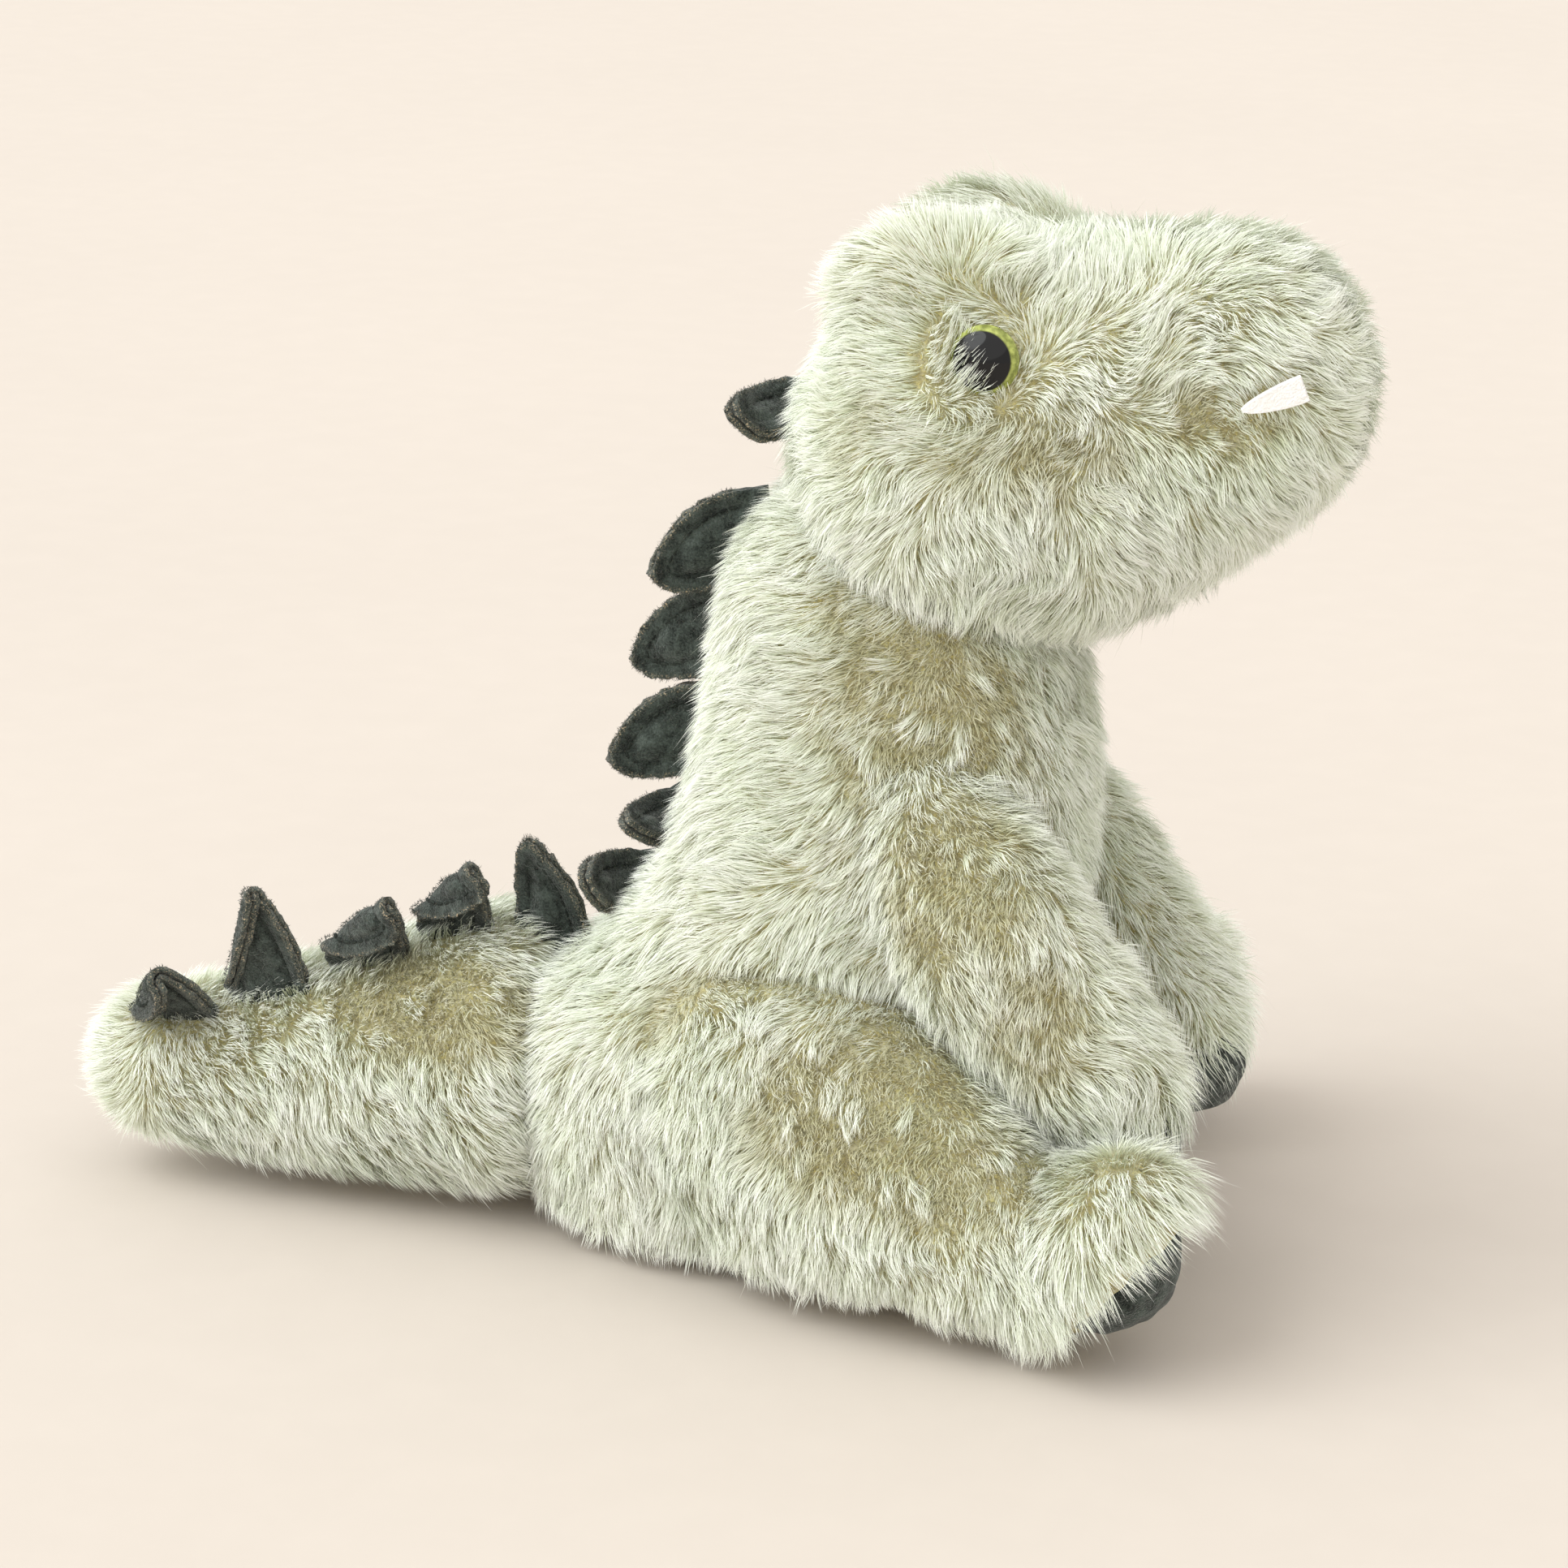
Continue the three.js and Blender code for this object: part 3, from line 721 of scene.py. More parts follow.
@dataclass
class Coat:
    """The fur on one padded piece."""

    seed: int
    lay: Lay
    per_mm2: float = 3.1
    length: float = 8.4 * MM
    width: float = 0.2 * MM
    clump: float = 1.7 * MM
    lock: float = 7.0 * MM
    swirl: float = 0.55
    patches: Sequence[Patch] = ()
    keep: Callable[[Array, Array], Array] | None = None
    longer: Callable[[Array], Array] | None = None
    lift: Callable[[Array], Array] | None = None

    LEVELS = np.array([0.0, 0.5, 1.0])
    TAPER = (1.0, 0.8)
    RISE = (0.84, 0.24)  # how steeply a hair leaves the cloth, and how steeply its tip points
    CLOSE = 5.0 * MM  # within this distance of a seam the pile is shorter
    SUNK = 2.0 * MM  # hairs rooted deeper than this in a neighbour aren't grown
    SEAM_PILE = 0.34  # the share of its length that a hair keeps at a seam; what it loses there also darkens its colour as painted shade
    SEAM_RISE = (50 * MM, 62 * MM)  # a limb's seam has no furrow below these heights, and a full one above
    UNDERSIDE = (-0.8, 9 * MM)  # a cloth that looks down by the first, below the second, rests on the table
    SHORT = 0.3  # the share of hairs that end inside the pile
    SHORT_LENGTH = (0.5, 0.75)
    FULL_LENGTH = (0.86, 1.08)
    STRAY = 0.006  # the share of loose, long, thin hairs
    STRAY_LENGTH = 1.45
    STRAY_WIDTH = 0.55
    GATHER = (0.16, 0.4)  # how strongly locks and clumps draw their hairs together

    def roots(self, skin: Object, draw: np.random.Generator) -> tuple[Array, Array]:
        """Scatters the hairs' roots over a skin.

        Args:
            skin: the padded piece.
            draw: the random numbers.

        Returns:
            The roots and the skin's normals there.
        """
        places, normals = points_of(skin), normals_of(skin)
        skin.data.calc_loop_triangles()
        corners = np.empty(len(skin.data.loop_triangles) * 3, np.int32)
        skin.data.loop_triangles.foreach_get("vertices", corners)
        corners = corners.reshape(-1, 3)
        a, b, c = (places[corners[:, k]] for k in range(3))
        areas = np.linalg.norm(np.cross(b - a, c - a), axis=1) / 2
        count = int(areas.sum() / MM**2 * self.per_mm2)
        chosen = draw.choice(len(corners), count, p=areas / areas.sum())
        u, v = draw.random((2, count))
        over = u + v > 1
        u, v = np.where(over, 1 - u, u), np.where(over, 1 - v, v)
        shares = np.stack([1 - u - v, u, v], 1)[:, :, None]
        picked = corners[chosen]
        return (places[picked] * shares).sum(1), unit((normals[picked] * shares).sum(1))

    def grow(self, name: str, skin: Object, others: dict[str, Nearness],
             seams: Sequence[str]) -> list[Object]:
        """Grows the fur of a skin as meshes of ribbons, one on each side where there are many hairs.

        Args:
            name: the fur's name.
            skin: the padded piece it grows on.
            others: the neighbouring padded pieces, which hide the roots inside them.
            seams: the names of the neighbours that the pile parts from in a furrow, whose hairs also get
                painted shade.

        Returns:
            The furs.
        """
        draw = np.random.default_rng(self.seed)
        root, normal = self.roots(skin, draw)
        shown = (normal[:, 2] > self.UNDERSIDE[0]) | (root[:, 2] > self.UNDERSIDE[1])
        if self.keep is not None:
            shown &= self.keep(root, normal)
        furrow = np.ones(len(root))
        for label, other in others.items():
            gap = other.outside(root, self.CLOSE)
            shown &= gap > -self.SUNK
            if label in seams:
                low, high = self.SEAM_RISE
                gap = gap + self.CLOSE * (label != "tail") * ease(-root[:, 2], -high, -low)
                open_pile = ease(gap, 0.3 * MM, self.CLOSE)
                furrow = np.minimum(furrow, self.SEAM_PILE + (1 - self.SEAM_PILE) * open_pile)
        root, normal, furrow = root[shown], normal[shown], furrow[shown]
        worn = np.zeros(len(root))
        for patch in self.patches:
            worn = np.maximum(worn, patch.share(root))
        ragged = Waves(self.seed + 5, 9 * MM)(root) * 0.5 + Waves(self.seed + 6, 4 * MM)(root) * 0.4
        worn = np.clip(worn * (1 + ragged) + 0.10 * ragged, 0, 1)
        halves = {name: np.ones(len(root), bool)}
        if len(root) > MOST_HAIRS:
            halves = {f"{name}_{side.label}": root[:, 1] * side.value > 0 for side in Side}
        furs = []
        for label, half in halves.items():
            pick = np.nonzero(half)[0]
            if len(pick) > MOST_HAIRS:
                pick = np.sort(draw.choice(pick, MOST_HAIRS, replace=False))
            furs.append(self.ribbons(label, draw, root[pick], normal[pick], furrow[pick], worn[pick]))
        return furs

    def ribbons(self, name: str, draw: np.random.Generator, root: Array, normal: Array,
                furrow: Array, worn: Array) -> Object:
        """Lays the hairs down, gathers them into clumps and builds their ribbons.

        Args:
            name: the fur's name.
            draw: the random numbers.
            root: where the hairs stand.
            normal: the skin's normals there.
            furrow: the share of its length that each hair keeps beside a seam, which also sets how much
                painted shade it gets.
            worn: how short and dark the pile is, 0 to 1.

        Returns:
            The fur.
        """
        count = len(root)
        clump = self.groups(root, self.clump, draw, 0.2 * MM)
        lock = self.groups(root, self.lock, draw, 0.5 * MM)
        broad, fine = (Waves(self.seed + k, size)(root) for k, size in ((1, 34 * MM), (2, 15 * MM)))
        angle = self.swirl * (broad + 0.7 * fine)
        angle += self.each(clump, draw, 0.16) + self.each(lock, draw, 0.2)
        angle += draw.normal(0, 0.12 + 0.6 * worn, count)
        flow = self.lay(root, normal)
        flow = unit(flow - normal * (flow * normal).sum(1, keepdims=True))
        across = np.cross(normal, flow)
        flow = flow * np.cos(angle)[:, None] + across * np.sin(angle)[:, None]
        length = self.length * (1 - 0.5 * worn) * furrow
        length = length * np.clip(1 + self.each(clump, draw, 0.12), 0.6, 1.4)
        short = draw.random(count) < self.SHORT
        cut_short = draw.uniform(*self.SHORT_LENGTH, count)
        length *= np.where(short, cut_short, draw.uniform(*self.FULL_LENGTH, count))
        stray = draw.random(count) < self.STRAY
        length *= np.where(stray, self.STRAY_LENGTH, 1.0)
        if self.longer is not None:
            length *= self.longer(root)
        rise = self.each(lock, draw, 0.1) + self.each(clump, draw, 0.08)
        rise = rise + draw.normal(0, 0.06, count) + 0.15 * worn
        if self.lift is not None:
            rise += self.lift(root)
        steep = [np.clip(part + rise, 0.08, 0.99) for part in self.RISE]
        flat = [np.sqrt(1 - part**2) for part in steep]
        path = []
        for t in self.LEVELS:
            up = steep[0] * t + (steep[1] - steep[0]) * t * t / 2
            out = flat[0] * t + (flat[1] - flat[0]) * t * t / 2
            path.append(root + length[:, None] * (normal * up[:, None] + flow * out[:, None]))
        for group, pull in zip((lock, clump), self.GATHER):
            path = self.gather(path, group, pull * np.where(stray, 0, 1 - 0.5 * worn))
        made = self.mesh(name, draw, path, normal, length, stray)
        tint = 0.5 + self.each(clump, draw, 0.1) + self.each(lock, draw, 0.07) + draw.normal(0, 0.13, count)
        per_hair = 2 * len(self.TAPER) + 1
        levels = np.concatenate([np.repeat(self.LEVELS[:-1], 2), self.LEVELS[-1:]])
        give(made, "along", np.tile(levels, count))
        give(made, "tint", np.repeat(np.clip(tint, 0, 1), per_hair))
        # painted shade: beside a seam the hairs also take the darker worn colours, not only the shorter pile
        give(made, "worn", np.repeat(np.clip(worn + 0.85 * (1 - furrow), 0, 1), per_hair))
        return made

    def groups(self, root: Array, size: float, draw: np.random.Generator, loose: float) -> Array:
        """Returns which clump each hair belongs to, in warped cells of a size.

        Args:
            root: where the hairs stand.
            size: the width of a cell.
            draw: the random numbers.
            loose: how far a hair strays over a cell's edge.

        Returns:
            Each hair's group.
        """
        warp = np.stack([Waves(self.seed + 11 + k, 3.2 * size)(root) for k in range(3)], 1) * size * 0.6
        cells = np.floor((root + warp + draw.normal(0, loose, root.shape)) / size).astype(np.int64)
        keys = cells @ np.array([73856093, 19349663, 83492791])
        return np.unique(keys, return_inverse=True)[1].ravel()

    @staticmethod
    def each(group: Array, draw: np.random.Generator, spread: float) -> Array:
        """Returns one random number for each group, given to all of its hairs."""
        return draw.normal(0, spread, group.max() + 1)[group]

    @staticmethod
    def gather(path: list[Array], group: Array, pull: Array) -> list[Array]:
        """Draws the hairs of each group together towards their tips.

        Args:
            path: each level's points.
            group: each hair's group.
            pull: how strongly each hair is drawn in.

        Returns:
            Each level's new points.
        """
        sizes = np.bincount(group).astype(float)
        gathered = []
        for t, points in zip(Coat.LEVELS, path):
            middle = np.stack([np.bincount(group, points[:, k]) / sizes for k in range(3)], 1)[group]
            gathered.append(points + (middle - points) * (pull * t**1.4)[:, None])
        return gathered

    def mesh(self, name: str, draw: np.random.Generator, path: list[Array], normal: Array,
             length: Array, stray: Array) -> Object:
        """Builds one tapering ribbon along each hair's path.

        Args:
            name: its name.
            draw: the random numbers.
            path: each level's points.
            normal: the skin's normals there.
            length: the hairs' lengths.
            stray: which hairs are loose ones.

        Returns:
            The fur.
        """
        twist = draw.normal(0, 0.5, len(length))
        width = self.width * draw.uniform(0.75, 1.2, len(length)) * np.where(stray, self.STRAY_WIDTH, 1.0)
        rows = []
        for step, taper in enumerate(self.TAPER):
            along = unit(path[step + 1] - path[step])
            flat = unit(np.cross(along, normal))
            turned = flat * np.cos(twist)[:, None] + np.cross(along, flat) * np.sin(twist)[:, None]
            half = turned * (width * taper / 2)[:, None]
            rows += [path[step] + half, path[step] - half]
        rows.append(path[-1])
        return ribbon_mesh(name, np.stack(rows, 1), TABLE)


def ribbon_mesh(name: str, rows: Array, floor: float) -> Object:
    """Builds ribbons from their edge points.

    Args:
        name: the mesh's name.
        rows: for each ribbon, pairs of points from its root on, and its tip.
        floor: the lowest that a point may lie.

    Returns:
        The mesh object.
    """
    count, per_hair, _ = rows.shape
    vertices = rows.reshape(-1, 3)
    vertices[:, 2] = np.maximum(vertices[:, 2], floor)
    pattern = []
    for k in range(0, per_hair - 3, 2):
        pattern += [(k, k + 1, k + 3), (k, k + 3, k + 2)]
    pattern.append((per_hair - 3, per_hair - 2, per_hair - 1))
    faces = (np.arange(count)[:, None, None] * per_hair + np.array(pattern)[None]).reshape(-1, 3)
    mesh = bpy.data.meshes.new(name)
    mesh.vertices.add(len(vertices))
    mesh.vertices.foreach_set("co", vertices.astype(np.float32).ravel())
    mesh.loops.add(faces.size)
    mesh.loops.foreach_set("vertex_index", faces.astype(np.int32).ravel())
    mesh.polygons.add(len(faces))
    mesh.polygons.foreach_set("loop_start", np.arange(0, faces.size, 3, dtype=np.int32))
    mesh.update(calc_edges=True)
    return show(name, mesh)


# ---- Padded pieces ----
@dataclass
class Padded:
    """A padded piece: its form, what is fused to it, what it replaces and how it moves."""

    name: str
    body: str
    form: SoftForm
    nodes: tuple[str, ...]
    ovals: tuple[Oval, ...] = ()
    fair: int = 6
    floor: float = 1.2 * MM
    bend: tuple[Array, Array] | None = None
    skin: Object | None = None
    near: Nearness | None = None

    FILL = 0.85
    SEGMENTS = 56
    RINGS = 48
    VOXEL = 2.4 * MM
    SETTLED = 2.5 * MM  # below this height over its floor a form flattens out

    def build(self) -> Object:
        """Shapes a ball into the piece, fuses its ovals and draws it in under the pile.

        Returns:
            The skin.
        """
        body = ball(self.name, self.SEGMENTS, self.RINGS)
        move_points(body, self.form.shaped(points_of(body)))
        parts = [body]
        for index, oval in enumerate(self.ovals):
            lump = ball(f"{self.name}_{index}", self.SEGMENTS, self.RINGS // 2)
            move_points(lump, oval.shaped(points_of(lump)))
            parts.append(lump)
        for part in parts:
            face_outward(part)
        if len(parts) > 1:
            body = join(self.name, parts)
        apply_modifier(body, "REMESH", mode="VOXEL", voxel_size=self.VOXEL, use_smooth_shade=True)
        apply_modifier(body, "SMOOTH", factor=0.5, iterations=self.fair)
        edit_all(body, lambda: bpy.ops.transform.shrink_fatten(value=-PILE_UNDER))
        apply_modifier(body, "SMOOTH", factor=0.4, iterations=2)
        places = points_of(body)
        above = places[:, 2] - self.floor
        pressed = self.SETTLED * np.exp(np.minimum(above / self.SETTLED - 1, 0))
        places[:, 2] = self.floor + np.where(above > self.SETTLED, above, pressed)
        move_points(body, places)
        dress(body, BACKING.material())
        self.skin = body
        self.near = Nearness(body)
        return body

    def settle(self, *pieces: Object) -> None:
        """Makes pieces move with this one's body, or, where it has a bend, only bakes their places into
        their meshes.
        """
        for piece in pieces:
            if self.bend is None:
                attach(piece, self.body)
            else:
                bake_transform(piece)

    def finish(self, coat: Coat, others: dict[str, Nearness], seams: Sequence[str] = ()) -> list[Object]:
        """Args:
            coat: the fur.
            others: the neighbouring padded pieces.
            seams: the neighbours that the pile parts from.

        Returns:
            The furs.
        """
        furs = coat.grow(self.name.replace("_padding", "_fur"), self.skin, others, seams)
        for fur in furs:
            dress(fur, FUR.material())
            log.info("%s: %d hairs", fur.name, len(fur.data.polygons) // 3)
        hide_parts(*self.nodes)
        self.settle(self.skin, *furs)
        return furs


@dataclass
class Torso:
    """The body: seat, belly and chest, up into the head."""

    form: SoftForm = SoftForm(
        spine=((6, 0, -3), (12, 0, 22), (14, 0, 44), (18, 0, 60), (28, 0, 75),
               (37, 0, 97), (40, 0, 120), (40, 0, 144), (39, 0, 186)),
        across=(34, 42, 45, 45, 44, 43, 41, 39, 37),
        along=(48, 61, 63, 60, 53, 48, 45, 41, 37),
        start_round=0.05,
        end_round=0.2,
        level=True,
    )

    def padded(self) -> Padded:
        """Returns the torso's padded piece."""
        return Padded("torso_padding", "torso", self.form,
                      ("torso_skin_left", "torso_skin_right", "torso_stuffing"), floor=4.6 * MM)

    def coat(self) -> Coat:
        """The pile runs down and back over the shoulders, and straight down over the seat."""
        patches = []
        for side in Side:
            patches += [
                Patch((60, side.value * 40, 134), (25, 22, 38)),
                Patch((46, side.value * 40, 160), (14, 14, 14), 0.8),
            ]
        return Coat(101, self.lay, patches=patches, swirl=0.4)

    @staticmethod
    def lay(points: Array, normals: Array) -> Array:
        """Returns the way that the pile lies at each point.

        Args:
            points: where, as rows of x, y and z.
            normals: the skin's normals there.

        Returns:
            The directions.
        """
        high = ease(points[:, 2], 60 * MM, 100 * MM)[:, None]
        front = np.maximum(ease(normals[:, 0], 0.1, 0.7), ease(points[:, 0], 36 * MM, 66 * MM))[:, None]
        back = np.array((-0.85, 0.0, -0.55)) * (1 - front) + np.array((0.15, 0.0, -1.0)) * front
        return back * high + np.array((-0.12, 0.0, -1.0)) * (1 - high)


@dataclass
class Head:
    """The head: the skull and muzzle with two brows, the eyes and the fangs."""

    joint: Array
    form: SoftForm = SoftForm(
        spine=((17, 0, 193), (28, 0, 191), (42, 0, 190), (58, 0, 190), (76, 0, 192),
               (93, 0, 197), (109, 0, 203), (124, 0, 207), (142, 0, 211)),
        across=(30, 36, 42, 45, 43, 38, 35, 32, 28),
        along=(32, 39, 45, 47, 46, 41, 36, 31, 25),
        start_round=0.2,
        end_round=0.16,
    )
    brow: tuple = (54, 20, 222)
    brow_size: tuple = (26, 15, 19)
    cowlick: tuple = (72, 42, 203)
    looks: tuple = (0.34, 0.9, 0.14)
    leans: tuple = (-0.04, 0.98, 0.1)  # the way that the dome looks, sunk further at the back than its node
    eye_radius: float = 7.3 * MM
    dome: float = 4.4 * MM
    eye_sunk: float = 3.0 * MM
    eye_shift: tuple = (-1.6, 0.5, -1.4)
    stem_width: float = 0.8  # of the dome's
    stem_half: float = 4.4 * MM
    stem_under: float = 4.6 * MM
    fang_root: tuple = (131, 29.5, 210)
    fang_out: tuple = (-0.88, 0.3, -0.36)

    def padded(self) -> Padded:
        """Returns the head's padded piece, with two points about the neck stored as its bend."""
        brows = tuple(Oval(side.mirror(self.brow), self.brow_size) for side in Side)
        bend = (self.joint + np.array((0, 0, 2)) * MM, self.joint + np.array((0, 0, 26)) * MM)
        return Padded("head_padding", "head", self.form,
                      ("head_skin_left", "head_skin_right", "head_stuffing"), ovals=brows, fair=4, bend=bend)

    def eye_axis(self, side: Side) -> tuple[Array, Array]:
        """Returns the top of an eye's dome, from its node, and the way that it looks.

        Args:
            side: which side.

        Returns:
            The top and the direction.
        """
        out = unit(side.mirror(self.looks))
        places = points_of(frame["nodes"][f"eye_{side.label}"])
        heights = places @ out
        middle = places[heights > heights.max() - self.dome].mean(0)
        rim = middle + out * (heights.max() - self.eye_sunk - self.dome - middle @ out)
        leaning = unit(side.mirror(self.leans))
        return rim + side.mirror(self.eye_shift) * MM + leaning * self.dome, leaning

    def beside_eye(self, points: Array, side: Side) -> tuple[Array, Array]:
        """Returns the way from an eye's axis to each point, and how far that is.

        Args:
            points: where, as rows of x, y and z.
            side: which side.

        Returns:
            The ways and the distances.
        """
        top, out = self.eye_axis(side)
        reach = points - top
        aside = reach - (reach @ out)[:, None] * out
        return aside, np.linalg.norm(aside, axis=1)

    def coat(self) -> Coat:
        """The pile runs out from below each eye, over the cheeks, the brows and the muzzle."""
        patches = []
        for side in Side:
            patches += [
                Patch((138, side.value * 20, 222), (6, 7, 5), 0.7),
                Patch((118, side.value * 35, 202), (19, 12, 8), 0.66),
                Patch((84, side.value * 44, 196), (26, 14, 14), 0.42),
                Patch((40, side.value * 42, 200), (12, 14, 14), 0.3),
            ]
        return Coat(202, self.lay, length=8.6 * MM, swirl=0.72, patches=patches, keep=self.keep,
                    longer=self.longer, lift=self.lift)

    def lay(self, points: Array, normals: Array) -> Array:
        """Returns the way that the pile lies at each point.

        Args:
            points: where, as rows of x, y and z.
            normals: the skin's normals there; not used.

        Returns:
            The directions.
        """
        side = np.where(points[:, 1] < 0, -1.0, 1.0)
        x, y, z = (np.array(self.cowlick) * MM)
        centre = np.stack([np.full(len(points), x), side * y, np.full(len(points), z)], 1)
        away = unit(points - centre)
        low = ease(-points[:, 2], -0.195, -0.165)[:, None]
        flow = 0.8 * away + np.array((-0.1, 0.0, -0.3)) + np.array((0.0, 0.0, -0.5)) * low
        for own in Side:
            over = self.behind_eye(points, own)[:, None]
            flow = flow * (1 - over) + np.array((1.0, 0.0, -0.45)) * over
        return flow

    def behind_eye(self, points: Array, side: Side) -> Array:
        """Returns 1 just behind and under an eye, where the pile falls over its rim, and 0 elsewhere.

        Args:
            points: where, as rows of x, y and z.
            side: which side.

        Returns:
            The shares.
        """
        aside, far = self.beside_eye(points, side)
        behind = ease(unit(aside) @ np.array((-0.9, 0.0, -0.42)), 0.05, 0.5)
        near = 1 - ease(far, 11 * MM, 15 * MM)
        return behind * near * (points[:, 1] * side.value > 0)

    def lift(self, points: Array) -> Array:
        """Raises the pile behind the eyes."""
        return 0.34 * sum(self.behind_eye(points, side) for side in Side)

    def keep(self, points: Array, normals: Array) -> Array:
        """Leaves the eyes clear of fur.

        Args:
            points: where, as rows of x, y and z.
            normals: the skin's normals there; not used.

        Returns:
            Whether each hair grows.
        """
        shown = np.ones(len(points), bool)
        for side in Side:
            _, far = self.beside_eye(points, side)
            bare = self.eye_radius - (0.7 + 3.2 * self.behind_eye(points, side)) * MM
            shown &= (far > bare) | (points[:, 1] * side.value < 0)
        return shown

    def longer(self, points: Array) -> Array:
        """Shortens the pile round the eyes and under the fangs.

        Args:
            points: where, as rows of x, y and z.

        Returns:
            The factors on the length.
        """
        share = np.ones(len(points))
        for side in Side:
            _, far = self.beside_eye(points, side)
            own = points[:, 1] * side.value > 0
            short = 0.5 + 0.5 * np.maximum(ease(far, 8 * MM, 14 * MM), 1.4 * self.behind_eye(points, side))
            share = np.where(own, share * short, share)
            root = side.mirror(self.fang_root) * MM
            along = unit(side.mirror(self.fang_out))
            run = np.clip((points - root) @ along, -2 * MM, 14 * MM)
            off = np.linalg.norm(points - root - run[:, None] * along, axis=1)
            share = np.minimum(share, 0.42 + 0.58 * ease(off, 5.5 * MM, 9.5 * MM))
        return share

    def build_eye(self, side: Side) -> None:
        """Turns a domed eye with its stem.

        Args:
            side: which eye.
        """
        top, out = self.eye_axis(side)
        dome = ball(f"eye_{side.label}_dome", 48, 32)
        places = points_of(dome)
        ring = np.hypot(places[:, 0], places[:, 1])
        height = np.where(places[:, 2] > 0, places[:, 2] * self.dome, places[:, 2] * 1.6 * MM)
        local = np.column_stack([places[:, :2] * self.eye_radius, height - self.dome])
        move_points(dome, place_on(local, top, out))
        give(dome, "ring", ring)
        stem = ball(f"eye_{side.label}_stem", 32, 16)
        places = points_of(stem)
        wide = places[:, :2] * self.eye_radius * self.stem_width
        deep = np.clip(places[:, 2] * 2.4, -1, 1) * self.stem_half
        local = np.column_stack([wide, deep - self.dome - self.stem_under])
        move_points(stem, place_on(local, top, out))
        dress(dome, EYE_GLOSS.material())
        dress(stem, EYE_STEM.material())
        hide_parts(f"eye_{side.label}")
        for piece in (dome, stem):
            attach(piece, "head")

    def build_fang(self, side: Side) -> None:
        """Cuts a fang from thick white felt, with its point lying back along the cheek.

        Args:
            side: which fang.
        """
        out = unit(side.mirror(self.fang_out))
        across = unit(np.cross((0.0, 0.0, 1.0), out))
        axes = np.stack([np.cross(out, across), out, -side.value * across])
        cut = FeltCut(width=5.4 * MM, height=12 * MM, below=1.5 * MM, tip_power=1.5, skew=0.5 * MM)
        fang = cut.sheet(f"fang_{side.label}_felt", 1.9 * MM, 26, 30)
        places = points_of(fang)
        places[:, 2] += 1.8 * MM + 0.8 * MM * ease(places[:, 1], 0, 14 * MM)
        move_points(fang, places @ axes + side.mirror(self.fang_root) * MM)
        face_outward(fang)
        dress(fang, WHITE_FELT.material())
        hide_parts(f"fang_{side.label}")
        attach(fang, "head")


def place_on(local: Array, at: Array, out: Array) -> Array:
    """Stands points up on a place: local +Z along out.

    Args:
        local: points about the origin.
        at: where the origin goes.
        out: the direction of +Z.

    Returns:
        The placed points.
    """
    wide = unit(np.cross((0.0, 0.0, 1.0), out))
    return local @ np.stack([wide, np.cross(out, wide), out]) + at


@dataclass
class Tail:
    """The tail, thick at its seam and blunt at its end."""

    joint: Array
    form: SoftForm = SoftForm(
        spine=((-27, 0, 38), (-48, 0, 37), (-72, -1, 33), (-98, -3, 29), (-126, -6, 27), (-154, -9, 27)),
        across=(36, 36, 32, 27, 22, 18),
        along=(36, 35, 31, 26, 21, 17),
        start_round=0.22,
        end_round=0.12,
    )

    def padded(self) -> Padded:
        """Returns the tail's padded piece, with two points about its seam stored as its bend."""
        bend = (self.joint + np.array((12, 0, 0)) * MM, self.joint - np.array((16, 0, 0)) * MM)
        return Padded("tail_padding", "tail", self.form,
                      ("tail_skin_left", "tail_skin_right", "tail_stuffing"), bend=bend)

    def coat(self) -> Coat:
        """The pile hangs down and forward along the tail, and fans out round its end."""
        patches = [Patch((-62, -22, 52), (24, 16, 12)), Patch((-70, 24, 48), (18, 14, 12), 0.8)]
        return Coat(303, self.lay, patches=patches, swirl=0.3)

    @staticmethod
    def lay(points: Array, normals: Array) -> Array:
        """Returns the way that the pile lies at each point."""
        end = ease(-points[:, 0], 118 * MM, 148 * MM)[:, None]
        return np.array((0.85, 0.0, -0.55)) * (1 - end) + np.array((-1.0, 0.0, -0.25)) * end


